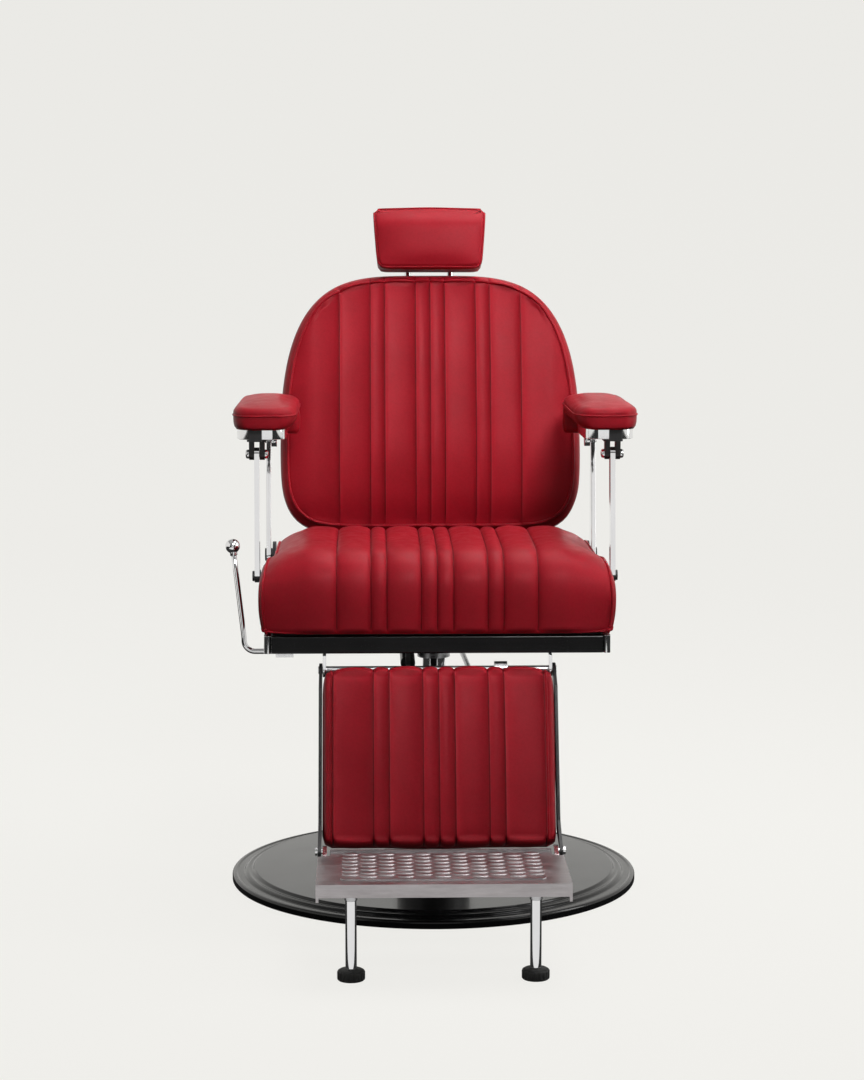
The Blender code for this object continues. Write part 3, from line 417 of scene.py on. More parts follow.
def tube(name, path, radius, segments, slot, body, closed=False):
    vertices, faces = tube_shape(path, radius, segments, closed)
    return add_object(name, vertices, faces, slot, body)


def refined(node, width=0.0006):
    """A copy of a hard CAD node with its edges broken and its rounds shaded smooth, in place of the node."""
    mesh = NODES[node].data.copy()
    shape = bmesh.new()
    shape.from_mesh(mesh)
    bmesh.ops.remove_doubles(shape, verts=shape.verts, dist=2e-6)
    bmesh.ops.dissolve_limit(
        shape, angle_limit=FLAT_ANGLE, verts=shape.verts, edges=shape.edges, use_dissolve_boundaries=False)
    sharp = [e for e in shape.edges
             if len(e.link_faces) == 2 and e.calc_face_angle(0.0) > BEVEL_ANGLE and e.calc_length() > 0.0004]
    if width > 0.0 and sharp:
        bmesh.ops.bevel(shape, geom=sharp, offset=width, segments=2, profile=0.5, affect="EDGES",
                        clamp_overlap=True, offset_type="OFFSET")
    bmesh.ops.recalc_face_normals(shape, faces=shape.faces)
    mesh.clear_geometry()
    shape.to_mesh(mesh)
    shape.free()
    mesh.shade_smooth()
    mesh.set_sharp_from_angle(angle=SMOOTH_ANGLE)
    piece = dress("fine_" + node, mesh, SLOT_OF[node], BODY_OF[node])
    flatten_shading(piece)
    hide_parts(node)
    return piece


# ---------------------------------------------------------------- soft shapes

def plane_matrix(origin, forwards, along):
    """From x, n out of a cushion's face and u along it, to the row frame."""
    columns = Matrix((Vector((1.0, 0.0, 0.0)), forwards, along)).transposed().to_4x4()
    return Matrix.Translation(origin) @ columns


def back_matrix():
    forwards = Vector((0.0, -cos(RAKE), sin(RAKE)))
    return plane_matrix(BACK_FOOT, forwards, Vector((0.0, sin(RAKE), cos(RAKE))))


def leg_matrix():
    downwards = (LEG_FOOT - LEG_TOP).normalized()
    return plane_matrix(LEG_TOP, Vector((0.0, downwards.z, -downwards.y)), downwards)


def catmull(points, steps):
    """A smooth line through points, whose ends carry on straight."""
    points = [np.array(p, float) for p in points]
    padded = [2 * points[0] - points[1]] + points + [2 * points[-1] - points[-2]]
    out = []
    for a, b, c, d in zip(padded, padded[1:], padded[2:], padded[3:]):
        for k in range(steps):
            t = k / steps
            out.append(0.5 * (2 * b + (c - a) * t + (2 * a - 5 * b + 4 * c - d) * t * t
                              + (3 * b - a - 3 * c + d) * t ** 3))
    out.append(points[-1])
    return np.array(out)


def half_outline(points, steps=14):
    """The right half of an outline, from its lowest point on the middle line up to its highest one."""
    first, last = points[1], points[-2]
    line = catmull([(-first[0], first[1])] + list(points) + [(-last[0], last[1])], steps)
    line = line[steps:-steps]
    line[0, 0] = line[-1, 0] = 0.0
    return line


def inset_line(line, distance):
    """A half outline moved inwards."""
    tangent = np.gradient(line, axis=0)
    tangent /= np.linalg.norm(tangent, axis=1)[:, None]
    inner = line - distance * np.stack([tangent[:, 1], -tangent[:, 0]], axis=1)
    inner[0, 0] = inner[-1, 0] = 0.0
    return inner


def channel_columns(seams, last, widest=0.0085):
    """Distances from the middle at which columns of vertices run, close together at each seam."""
    marks = {0.0, last}
    for seam in seams:
        for step in (-0.0065, -0.0034, -0.0014, 0.0, 0.0014, 0.0034, 0.0065):
            if 0.0 <= seam + step <= last:
                marks.add(round(seam + step, 6))
    marks = sorted(marks)
    out = [marks[0]]
    for low, high in zip(marks, marks[1:]):
        count = max(1, ceil((high - low) / widest))
        out += [low + (high - low) * k / count for k in range(1, count + 1)]
    return out


def resample(line, count):
    """Points at even steps along a line."""
    length = np.concatenate([[0.0], np.cumsum(np.linalg.norm(np.diff(line, axis=0), axis=1))])
    at = np.linspace(0.0, length[-1], count)
    return np.stack([np.interp(at, length, line[:, 0]), np.interp(at, length, line[:, 1])], axis=1)


class Slab:
    """A crowned closed pad in a plane. Its face is a grid whose columns follow the seams,
    and rings round the grid roll over the edge and down to the flat back.
    Coordinates are x across, n out of the face and u along it."""

    def __init__(self, outline, columns, corner_low, corner_high, rows, roll, drop, crown, thickness,
                 pull=0.002, outer=7):
        self.roll, self.drop, self.thickness = roll, drop, thickness
        line = half_outline(outline)
        inner = inset_line(line, roll)
        low_end = int(np.argmax(inner[:, 0] >= corner_low))
        high_start = len(inner) - 1 - int(np.argmax(inner[::-1, 0] >= corner_high))
        bottom, top = inner[:low_end + 1], inner[high_start:]
        side = resample(inner[low_end:high_start + 1], rows)
        share = np.linspace(0.0, 1.0, rows)
        last = columns[-1]
        grid = []
        for x in columns:
            low = np.interp(x, bottom[:, 0], bottom[:, 1])
            high = np.interp(x, top[::-1, 0], top[::-1, 1])
            grid.append(np.stack([np.full(rows, x), low + (high - low) * share], axis=1))
        for k in range(1, outer + 1):
            q = k / outer
            x_low = last + (side[0, 0] - last) * q
            x_high = last + (side[-1, 0] - last) * q
            low = np.interp(x_low, bottom[:, 0], bottom[:, 1])
            high = np.interp(x_high, top[::-1, 0], top[::-1, 1])
            chord = side[0] + (side[-1] - side[0]) * share[:, None]
            bulge = side - chord
            x = x_low + (x_high - x_low) * share + bulge[:, 0] * q
            grid.append(np.stack([x, low + (high - low) * share + bulge[:, 1] * q], axis=1))
        right = np.array(grid)
        left = right[:0:-1] * np.array([-1.0, 1.0])
        face = np.concatenate([left, right], axis=0)
        across_count = face.shape[0]
        half = max(inner[:, 0].max(), 1e-6)
        middle = 0.5 * (inner[0, 1] + inner[-1, 1])
        reach = 0.5 * (inner[-1, 1] - inner[0, 1])
        x, u = face[:, :, 0], face[:, :, 1]
        across = np.clip(1.0 - np.abs(x / half) ** 3.0, 0.0, 1.0)
        along = np.clip(1.0 - np.abs((u - middle) / reach) ** 3.0, 0.0, 1.0)
        n = crown * across * along - crown
        points = [np.stack([x.ravel(), n.ravel(), u.ravel()], axis=1)]
        index = np.arange(across_count * rows).reshape(across_count, rows)
        faces = [(index[i, j], index[i + 1, j], index[i + 1, j + 1], index[i, j + 1])
                 for i in range(across_count - 1) for j in range(rows - 1)]
        loop = ([index[i, 0] for i in range(across_count)] + [index[-1, j] for j in range(1, rows)]
                + [index[i, -1] for i in range(across_count - 2, -1, -1)]
                + [index[0, j] for j in range(rows - 2, 0, -1)])
        edge = points[0][loop]
        flat = edge[:, [0, 2]]
        tangent = np.roll(flat, -1, axis=0) - np.roll(flat, 1, axis=0)
        tangent /= np.linalg.norm(tangent, axis=1)[:, None]
        outwards = np.stack([tangent[:, 1], -tangent[:, 0]], axis=1)
        previous = loop
        total = len(points[0])
        self.rings = []
        for offset, sink in self.ring_steps(pull):
            ring = edge.copy()
            ring[:, [0, 2]] = flat + outwards * offset
            ring[:, 1] = edge[:, 1] - sink if sink < 0.98 * thickness else -thickness
            points.append(ring)
            current = list(range(total, total + len(loop)))
            count = len(loop)
            faces += [(previous[k], previous[(k + 1) % count], current[(k + 1) % count], current[k])
                      for k in range(count)]
            self.rings.append(current)
            previous = current
            total += count
        faces.append(previous)
        self.points = np.concatenate(points, axis=0)
        self.faces = faces

    def ring_steps(self, pull):
        """Offsets out of the inset edge and depths below it: the roll, the side and the turn to the back."""
        steps = []
        for k in range(1, 7):
            turn = radians(15.0 * k)
            steps.append((self.roll * sin(turn), self.drop * (1.0 - cos(turn))))
        side_end = self.thickness - 0.006
        for k in range(1, 4):
            q = k / 4.0
            steps.append((self.roll - pull * sin(pi * q), self.drop + (side_end - self.drop) * q))
        steps.append((self.roll - 0.0006, side_end))
        steps.append((self.roll - 0.003, self.thickness - 0.0015))
        steps.append((self.roll - 0.006, self.thickness))
        steps.append((self.roll - 0.014, self.thickness))
        return steps


def coordinates(mesh):
    flat = np.empty(len(mesh.vertices) * 3)
    mesh.vertices.foreach_get("co", flat)
    return flat.reshape(-1, 3)


def cloth_shift(points, faces, voxel, cap):
    """How far each point moves when the closed shape is blown up softly as cloth."""
    scene = bpy.context.scene
    mesh = bpy.data.meshes.new("blown")
    mesh.from_pydata([tuple(map(float, p)) for p in points], [], [tuple(f) for f in faces])
    tidy_mesh(mesh)
    obj = new_object("blown", mesh)
    remesh = obj.modifiers.new("remesh", "REMESH")
    remesh.mode = "VOXEL"
    remesh.voxel_size = voxel
    graph = bpy.context.evaluated_depsgraph_get()
    plain = bpy.data.meshes.new_from_object(obj.evaluated_get(graph))
    obj.modifiers.clear()
    obj.data = plain
    before = coordinates(plain)
    cloth = obj.modifiers.new("cloth", "CLOTH")
    cloth.settings.quality = 4
    cloth.settings.use_pressure = True
    cloth.settings.uniform_pressure_force = CLOTH_PRESSURE
    cloth.settings.effector_weights.gravity = 0.0
    cloth.settings.tension_stiffness = CLOTH_STIFFNESS
    cloth.settings.compression_stiffness = CLOTH_STIFFNESS
    cloth.settings.bending_stiffness = CLOTH_BENDING
    for number in range(1, CLOTH_FRAMES + 1):
        scene.frame_set(number)
    graph = bpy.context.evaluated_depsgraph_get()
    after = coordinates(obj.evaluated_get(graph).to_mesh())
    obj.evaluated_get(graph).to_mesh_clear()
    scene.frame_set(1)
    shift = after - before
    length = np.linalg.norm(shift, axis=1)
    shift *= (np.minimum(length, cap) / np.maximum(length, 1e-9))[:, None]
    tree = KDTree(len(before))
    for k, point in enumerate(before):
        tree.insert(point, k)
    tree.balance()
    out = np.zeros_like(points)
    for k, point in enumerate(points):
        found = tree.find_n(point, CLOTH_NEIGHBOURS)
        weights = np.array([1.0 / (item[2] + CLOTH_REACH) for item in found])
        out[k] = (shift[[item[1] for item in found]] * weights[:, None]).sum(axis=0) / weights.sum()
    bpy.data.objects.remove(obj, do_unlink=True)
    return out


def point_normals(points, faces):
    """Outward normals at the points of a closed shape, without its wide flat ends."""
    normals = np.zeros_like(points)
    for face in faces:
        if len(face) > 8:
            continue
        corners = points[list(face)]
        cross = np.zeros(3)
        for k in range(1, len(face) - 1):
            cross += np.cross(corners[k] - corners[0], corners[k + 1] - corners[0])
        normals[list(face)] += cross
    centre = points.mean(axis=0)
    length = np.linalg.norm(normals, axis=1)
    normals /= np.maximum(length, 1e-12)[:, None]
    if (normals * (points - centre)).sum() < 0:
        normals = -normals
    return normals


def channels(x, seams, ends, depth, puff):
    """Depth of the sewn grooves, height of the puffed leather between them, and a mask of painted shade
    along each seam crease, at distances across.
    """
    at = np.abs(x)
    groove = np.zeros_like(x)
    seam_shade = np.zeros_like(x)
    for seam in seams:
        near = np.abs(at - seam)
        groove += depth * (0.62 * np.exp(-(near / 0.003) ** 1.4) + 0.38 * np.exp(-(near / 0.0009) ** 2.0))
        # Painted shade: a narrow mask along each seam that later darkens the leather colour there.
        seam_shade = np.maximum(seam_shade, np.clip(1.0 - near / 0.0014, 0.0, 1.0))
    swell = np.zeros_like(x)
    limits = sorted(set(seams) | {ends})
    for low, high in zip(limits, limits[1:]):
        inside = (at >= low) & (at <= high)
        q = np.clip((at - low) / (high - low), 0.0, 1.0)
        height = puff * min(1.0, (high - low) / 0.04) ** 0.6
        swell = np.where(inside, height * (1.0 - np.abs(2.0 * q - 1.0) ** 2.4), swell)
    return groove, swell, seam_shade


def smooth_step(value, low, high):
    """A soft rise from 0 at low to 1 at high."""
    q = np.clip((value - low) / (high - low), 0.0, 1.0)
    return q * q * (3.0 - 2.0 * q)


def blow_up(points, faces, voxel, cap, keep, share):
    """Moves the points by the cloth's swelling, where keep lets it and by a share along each axis."""
    points += cloth_shift(points, faces, voxel, cap) * keep[:, None] * np.array(share)


def place_all(points, matrix):
    return [matrix @ Vector(p) for p in points]


def soft_object(name, points, faces, matrix, body, seam=None, replaced=()):
    """A cushion from points in its own frame, with the painted shade of its seam creases, that stands for
    its CAD solids.
    """
    mesh = bpy.data.meshes.new(name)
    mesh.from_pydata([tuple(p) for p in place_all(points, matrix)], [], [tuple(map(int, f)) for f in faces])
    tidy_mesh(mesh)
    # The seam attribute carries the painted shade of the seam creases to the leather material.
    attribute = mesh.attributes.new("seam", "FLOAT", "POINT")
    attribute.data.foreach_set("value", np.zeros(len(points)) if seam is None else seam.astype(np.float32))
    obj = dress(name, mesh, "red_leather", body)
    if replaced:
        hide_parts(*replaced)
    return obj


def piping(name, path, radius, body):
    """A welt cord sewn along a path on a cushion."""
    return tube(name, path, radius, 8, "red_leather", body, closed=True)


# ---------------------------------------------------------------- backrest

BACK_HALF = 0.2635
BACK_WIDEST = 0.15
BACK_TOP = 0.4605
BACK_SHOULDER = (3.9, 2.6)
BACK_HIP = (7.0, 3.2)


def back_outline(steps=12):
    """The right half of the backrest: two superellipses that meet at its widest level."""
    def quarter(reach, powers):
        across, along = powers
        shares = [sin(0.5 * pi * k / steps) for k in range(steps + 1)]
        return [(BACK_HALF * q, BACK_WIDEST + reach * (1.0 - q ** across) ** (1.0 / along)) for q in shares]
    lower = quarter(-BACK_WIDEST, BACK_HIP)
    upper = quarter(BACK_TOP - BACK_WIDEST, BACK_SHOULDER)
    return lower + upper[-2::-1]


def make_back():
    columns = channel_columns(CHANNELS, CHANNEL_COLUMNS_END)
    slab = Slab(back_outline(), columns, 0.222, 0.188, 54,
                roll=0.0175, drop=0.021, crown=0.011, thickness=0.0545)
    points = slab.points
    x, n, u = points.T
    keep = smooth_step(n, -0.045, -0.02)
    blow_up(points, slab.faces, 0.006, 0.006, keep, (0.35, 0.8, 0.35))
    front = smooth_step(n, -0.02, -0.01)
    depth = smooth_step(n, -0.048, -0.016)
    low = 1.0 - smooth_step(u, 0.0, 0.165)
    high = smooth_step(u, 0.27, 0.46)
    lowest = 1.0 - smooth_step(u, 0.0, 0.07)
    n -= (0.013 * low ** 1.3 + 0.009 * lowest + 0.007 * high) * depth
    fade = smooth_step(u, 0.01, 0.024)
    sides = smooth_step(CHANNEL_SEAMS_END - np.abs(x), 0.0, 0.006)
    groove, swell, seam_shade = channels(x, CHANNELS, 0.21, 0.0034, 0.0022)
    normals = point_normals(points, slab.faces)
    points += normals * ((swell - groove * sides) * front * fade)[:, None]
    # Painted shade along the seam creases, on the face only and fading out towards the ends of the channels.
    seam = seam_shade * sides * fade * smooth_step(n, -0.026, -0.018)
    matrix = back_matrix()
    soft_object("backrest", points, slab.faces, matrix, "back", seam, ("back_cushion",))
    ring = points[slab.rings[0]]
    piping("backrest_piping", place_all(ring + normals[slab.rings[0]] * 0.0008, matrix), 0.0026, "back")


def make_back_board():
    outline = [(x * 0.993, 0.0015 + u * 0.9935) for x, u in back_outline()]
    columns = channel_columns((), CHANNEL_COLUMNS_END, 0.014)
    slab = Slab(outline, columns, 0.222, 0.19, 34, roll=0.012, drop=0.01, crown=0.003, thickness=0.0215)
    points = slab.points
    blow_up(points, slab.faces, 0.006, 0.0015, np.ones(len(points)), (0.3, 0.5, 0.3))
    flip = Matrix(((1, 0, 0, 0), (0, -1, 0, -0.0775), (0, 0, 1, 0), (0, 0, 0, 1)))
    matrix = back_matrix() @ flip
    soft_object("backrest_rear", points, slab.faces, matrix, "back", None, ("back_board",))
    piping("backrest_rear_piping", place_all(points[slab.rings[8]], matrix), 0.0022, "back")


# ---------------------------------------------------------------- headrest

def make_headrest():
    outline = ((0.0, 0.466), (0.05, 0.466), (0.078, 0.4663), (0.088, 0.469), (0.0918, 0.476),
               (0.0935, 0.49), (0.0957, 0.52), (0.098, 0.55), (0.099, 0.568), (0.097, 0.5745),
               (0.089, 0.576), (0.06, 0.577), (0.0, 0.5785))
    columns = channel_columns((), 0.066, 0.009)
    slab = Slab(outline, columns, 0.0775, 0.0845, 30,
                roll=0.0075, drop=0.016, crown=0.007, thickness=0.049, outer=4)
    points = slab.points
    x, n, u = points.T
    n += 0.01
    high = smooth_step(u, 0.535, 0.578)
    n -= 0.016 * high ** 1.5 * smooth_step(n, -0.045, -0.005)
    keep = smooth_step(n, -0.036, -0.015)
    blow_up(points, slab.faces, 0.005, 0.003, keep, (0.4, 0.8, 0.4))
    n[:] = np.minimum(n, 0.0125)
    matrix = back_matrix()
    soft_object("headrest", points, slab.faces, matrix, "headrest_pad", None, ("headrest_pad",))
    normals = point_normals(points, slab.faces)
    ring = points[slab.rings[2]] + normals[slab.rings[2]] * 0.0005
    piping("headrest_piping", place_all(ring, matrix), 0.0019, "headrest_pad")


# ---------------------------------------------------------------- seat

# The seat's section as (y, z), from under its middle round its nose, top and rear
SEAT_SECTION = (
    (0.06, 0.4562), (0.0, 0.456), (-0.1, 0.456), (-0.2, 0.456), (-0.256, 0.4562),
    (-0.266, 0.461), (-0.2715, 0.476), (-0.275, 0.502), (-0.2745, 0.528), (-0.268, 0.55),
    (-0.252, 0.568), (-0.224, 0.579), (-0.18, 0.583), (-0.12, 0.5845), (-0.05, 0.585),
    (0.02, 0.5848), (0.075, 0.5815), (0.099, 0.5735), (0.111, 0.558), (0.113, 0.52),
    (0.112, 0.475), (0.103, 0.458),
)
SEAT_REACH = 0.196


def seat_side(y, z):
    """Half-width of the seat at a point of its side.
    It has ears in front of the brackets, and a bulge half way up."""
    level = (z - 0.456) / 0.128
    bulge = np.clip(1.0 - np.abs((level - 0.42) / 0.62) ** 2.6, 0.0, 1.0)
    ear = 1.0 - smooth_step(y, -0.172, -0.146)
    return 0.2585 + 0.008 * bulge + ear * (0.0035 + 0.012 * bulge)


def make_seat():
    ring = catmull(list(SEAT_SECTION) + [SEAT_SECTION[0]], 5)[:-1]
    count = len(ring)
    tangent = np.roll(ring, -1, axis=0) - np.roll(ring, 1, axis=0)
    tangent /= np.linalg.norm(tangent, axis=1)[:, None]
    inwards = np.stack([tangent[:, 1], -tangent[:, 0]], axis=1)
    if (inwards * (ring - ring.mean(axis=0))).sum() > 0:
        inwards = -inwards
    y, z = ring[:, 0], ring[:, 1]
    up = np.clip(-inwards[:, 1], 0.0, 1.0)
    forward = np.clip(inwards[:, 0], 0.0, 1.0)
    backward = np.clip(-inwards[:, 0], 0.0, 1.0)
    shrink = 0.032 * up + 0.016 * forward + 0.012 * backward + 0.003 * np.clip(inwards[:, 1], 0.0, 1.0)
    columns = channel_columns(CHANNELS, CHANNEL_COLUMNS_END)
    columns += list(np.linspace(CHANNEL_COLUMNS_END, SEAT_REACH, 4)[1:])
    sections = [np.stack([np.full(count, x), y, z], axis=1) for x in columns]
    for k in range(1, 13):
        turn = radians(7.5 * k)
        inset = ring + inwards * (shrink * (1.0 - cos(turn)))[:, None]
        edge = seat_side(inset[:, 0], inset[:, 1])
        x = SEAT_REACH + (edge - SEAT_REACH) * sin(turn)
        sections.append(np.stack([x, inset[:, 0], inset[:, 1]], axis=1))
    last = sections[-1]
    centre = last[:, 1:].mean(axis=0)
    panels = []
    for share in (0.93, 0.78, 0.58, 0.36, 0.15):
        flat = centre + (last[:, 1:] - centre) * share
        panels.append(np.stack([seat_side(flat[:, 0], flat[:, 1]), flat[:, 0], flat[:, 1]], axis=1))
    right = sections + panels
    mirror = np.array([-1.0, 1.0, 1.0])
    rows = [section * mirror for section in right[:0:-1]] + right
    points = np.concatenate(rows, axis=0)
    x, y, z = points.T
    total = len(rows)
    faces = []
    for i in range(total - 1):
        near, far = i * count, (i + 1) * count
        faces += [(near + k, near + (k + 1) % count, far + (k + 1) % count, far + k) for k in range(count)]
    faces.append(list(range(count)))
    faces.append(list(range((total - 1) * count, total * count)))
    keep = smooth_step(z, 0.4575, 0.48) * (1.0 - 0.8 * smooth_step(y, 0.06, 0.11))
    blow_up(points, faces, 0.008, 0.006, keep, (0.1, 0.55, 0.75))
    normals = point_normals(points, faces)
    groove, swell, seam_shade = channels(x, CHANNELS, 0.222, 0.0038, 0.0042)
    open_part = smooth_step(z, 0.4585, 0.468)
    sides = smooth_step(CHANNEL_SEAMS_END - np.abs(x), 0.0, 0.006)
    rear = 1.0 - 0.75 * smooth_step(y, 0.085, 0.112)
    points += normals * ((swell * rear - groove * sides) * open_part)[:, None]
    # Painted shade along the seam creases, on the open top and nose only.
    seam = seam_shade * sides * open_part
    soft_object("seat", points, faces, Matrix.Identity(4), "seat", seam, ("seat_cushion",))
    for name, side in SIDES:
        row = total // 2 + (len(sections) - 4) * int(side)
        ring = slice(row * count, (row + 1) * count)
        piping(f"seat_piping_{name}", points[ring] + normals[ring] * 0.0006, 0.0024, "seat")


# ---------------------------------------------------------------- leg rest

def make_legrest():
    length = (LEG_FOOT - LEG_TOP).length
    half = 0.1806
    seams = LEG_CHANNELS + (LEG_BORDER_SEAM,)
    outline = (
        (0.0, -0.0008), (0.08, -0.0004), (0.135, 0.001), (half - 0.018, 0.0034), (half - 0.006, 0.009),
        (half - 0.0016, 0.021), (half, 0.048), (half, 0.13), (half - 0.0008, 0.2),
        (half - 0.0014, length - 0.03), (half - 0.0022, length - 0.0105), (half - 0.0085, length - 0.002),
        (0.15, length - 0.0008), (0.08, length - 0.0004), (0.0, length),
    )
    slab = Slab(outline, channel_columns(seams, 0.1656), 0.166, 0.166, 46,
                roll=0.01, drop=0.019, crown=0.01, thickness=0.0445, outer=3)
    points = slab.points
    x, n, u = points.T
    keep = smooth_step(n, -0.038, -0.018)
    foot = smooth_step(u, length - 0.06, length - 0.012)
    blow_up(points, slab.faces, 0.006, 0.005, keep * (1.0 - 0.8 * foot), (0.15, 0.8, 0.25))
    n += 0.006 * foot * keep * np.clip(1.0 - np.abs(x / half) ** 8.0, 0.0, 1.0)
    top_roll = 1.0 - smooth_step(u, 0.0, 0.034)
    n -= 0.0085 * top_roll ** 1.6 * smooth_step(n, -0.03, -0.008)
    front = smooth_step(n, -0.036, -0.022)
    groove, swell, seam_shade = channels(x, seams, 0.178, 0.0034, 0.0036)
    groove += 0.0016 * np.exp(-((np.abs(x) - 0.169) / 0.0012) ** 2.0)
    sides = smooth_step(0.1745 - np.abs(x), 0.0, 0.004)
    normals = point_normals(points, slab.faces)
    points += normals * ((swell - groove * sides) * front)[:, None]
    # Painted shade along the seam creases, on the front face only.
    seam = seam_shade * sides * front
    soft_object("legrest", points, slab.faces, leg_matrix(), "legrest", seam, ("legrest_pad",))
    for name, side in SIDES:
        at = side * 0.1672
        path = []
        for level in np.linspace(0.006, length - 0.006, 36):
            near = np.argmin(np.hypot(x - at, u - level) + (n < -0.03))
            path.append((at, n[near] + 0.0002, level))
        tube(f"legrest_piping_{name}", place_all(path, leg_matrix()), 0.0017, 8, "red_leather", "legrest")


# ---------------------------------------------------------------- arms

def make_arm_pad(name, side):
    low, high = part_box(f"arm_pad_{name}")
    middle = 0.5 * (low.x + high.x)
    half = 0.5 * (high.x - low.x) - 0.0005
    length = high.y - low.y
    deep = 0.0385
    outline = ((0.0, 0.0), (0.02, 0.0006), (0.034, 0.005), (half - 0.0065, 0.016),
               (half - 0.0015, 0.032), (half, 0.06), (half, length * 0.55), (half - 0.001, length - 0.045),
               (half - 0.005, length - 0.016), (half - 0.016, length - 0.0045), (0.02, length - 0.0006),
               (0.0, length))
    slab = Slab(outline, channel_columns((), 0.024, 0.006), 0.028, 0.0285, 40,
                roll=0.011, drop=0.009, crown=0.007, thickness=deep, pull=0.0, outer=4)
    points = slab.points
    x, n, u = points.T
    keep = smooth_step(n, -0.032, -0.016)
    blow_up(points, slab.faces, 0.005, 0.003, keep, (0.25, 0.6, 0.25))
    lengthwise = (u / length - 0.55) / 0.55
    n -= 0.003 * np.abs(lengthwise) ** 2.2 * smooth_step(n, -0.026, -0.01)
    level = (n + deep) / deep
    round_side = 1.0 - np.clip(np.abs(level - 0.42) / 0.62, 0.0, 1.0) ** 2.2
    inner_side = smooth_step(-side * x, 0.004, 0.04)
    outer_side = smooth_step(side * x, 0.01, 0.046)
    x *= 1.0 - (0.3 * inner_side + 0.05 * outer_side) * (1.0 - round_side)
    matrix = Matrix(((1, 0, 0, middle), (0, 0, 1, low.y), (0, 1, 0, high.z - 0.0005), (0, 0, 0, 1)))
    body = f"arm_{name}"
    soft_object(f"arm_rest_{name}", points, slab.faces, matrix, body, None, (f"arm_pad_{name}",))
    normals = point_normals(points, slab.faces)
    ring = points[slab.rings[6]] + normals[slab.rings[6]] * 0.0002
    piping(f"arm_piping_{name}", place_all(ring, matrix), 0.0015, body)
    tail_outline = ((0.0, 0.0), (0.01, 0.0005), (0.015, 0.004), (0.0172, 0.012), (0.0172, 0.03),
                    (0.016, 0.042), (0.01, 0.0455), (0.0, 0.046))
    tail = Slab(tail_outline, channel_columns((), 0.006, 0.004), 0.009, 0.009, 12,
                roll=0.006, drop=0.006, crown=0.0015, thickness=0.0355, pull=0.0, outer=3)
    place = Matrix(((0, -side, 0, side * 0.2252), (1, 0, 0, 0.14), (0, 0, 1, 0.7425), (0, 0, 0, 1)))
    soft_object(f"arm_rest_tail_{name}", tail.points, tail.faces, place, body, None, ())


def make_arm_bracket(name, side):
    """The black block bolted to the front of the housing, and the bright heads of the clevis pin."""
    low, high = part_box(f"arm_housing_{name}")
    x = side * 0.289
    half = 0.0105
    foot = high.z - 0.0222
    outline = fillet([(-half, foot), (-half, high.z), (half, high.z), (half, foot)], 0.0012, 2)
    front = low.y - 0.0035
    layers = ((front, 0.94), (front + 0.0006, 1.0), (low.y + 0.004, 1.0))
    vertices = [(x + a * wide, y, b) for y, wide in layers for a, b in outline]
    faces = layer_faces(3, len(outline))
    add_object(f"arm_bracket_{name}", vertices, faces, "black_steel", f"arm_{name}", 35.0)
    clevis_low, clevis_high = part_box(f"arm_clevis_{name}")
    dome = [(0.0001, -0.0052), (0.0072, -0.0052), (0.0076, -0.004), (0.0074, -0.0016), (0.006, 0.0004),
            (0.0032, 0.0014), (0.0001, 0.0017)]
    for label, place, heading in (("low", clevis_low.x, -1.0), ("high", clevis_high.x, 1.0)):
        pin = Matrix.Translation((place, 0.5 * (clevis_low.y + clevis_high.y), clevis_low.z + 0.0095))
        turn = Matrix.Rotation(heading * pi / 2.0, 4, "Y")
        lathe(f"arm_pin_{label}_{name}", dome, 32, pin @ turn, "chrome", f"arm_{name}", 40.0)


# ---------------------------------------------------------------- metal pieces

def make_base():
    """The dished cover with its rolled rim and the step round its middle."""
    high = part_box("base_cover")[1]
    r, top = high.x, high.z
    profile = [
        (0.0002, 0.014), (0.31, 0.014), (r - 0.0052, 0.006), (r - 0.0052, 0.0012), (r - 0.0012, 0.0012),
        (r, 0.0028), (r, 0.0115), (r - 0.0022, 0.0143), (r - 0.007, 0.015), (r - 0.0092, 0.0134),
        (r - 0.0195, 0.0138), (r - 0.0222, 0.0172), (r - 0.0265, 0.0188), (r - 0.0305, 0.0178),
        (0.3055, 0.0185), (0.3025, 0.0226), (0.102, 0.0261), (0.0905, top), (0.0002, top),
    ]
    cover = lathe("base_dish", fillet(profile, 0.0016), 160, Matrix.Identity(4), "gloss_black", "base", 60.0)
    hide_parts("base_cover")


def make_pump():
    refined("pump_cylinder", 0.0)
    gland = [(0.0206, 0.3155), (0.05, 0.3155), (0.05, 0.3232), (0.044, 0.328), (0.0252, 0.328),
             (0.0252, 0.3215), (0.0206, 0.3213)]
    ring = lathe_ring("gland_ring", fillet(gland, 0.0012), 72, "chrome", "base")
    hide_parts("gland_cap")
    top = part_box("ram")[1].z
    shaft = [(0.0002, 0.066), (0.0196, 0.066), (0.02, 0.0668), (0.02, 0.397), (0.0161, 0.4013),
             (0.016, top - 0.0005), (0.0155, top), (0.0002, top)]
    rod = lathe("lift_ram", shaft, 72, Matrix.Identity(4), "chrome", "ram", 30.0)
    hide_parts("ram")


def lathe_ring(name, profile, segments, slot, body):
    """A ring with a hole, turned about Z from a profile that closes on itself."""
    vertices, faces = [], []
    count = len(profile)
    for i in range(segments):
        turn = 2.0 * pi * i / segments
        vertices += [(p[0] * cos(turn), p[0] * sin(turn), p[1]) for p in profile]
        j = (i + 1) % segments
        for k in range(count):
            m = (k + 1) % count
            faces.append((i * count + k, j * count + k, j * count + m, i * count + m))
    return add_object(name, vertices, faces, slot, body, 40.0)


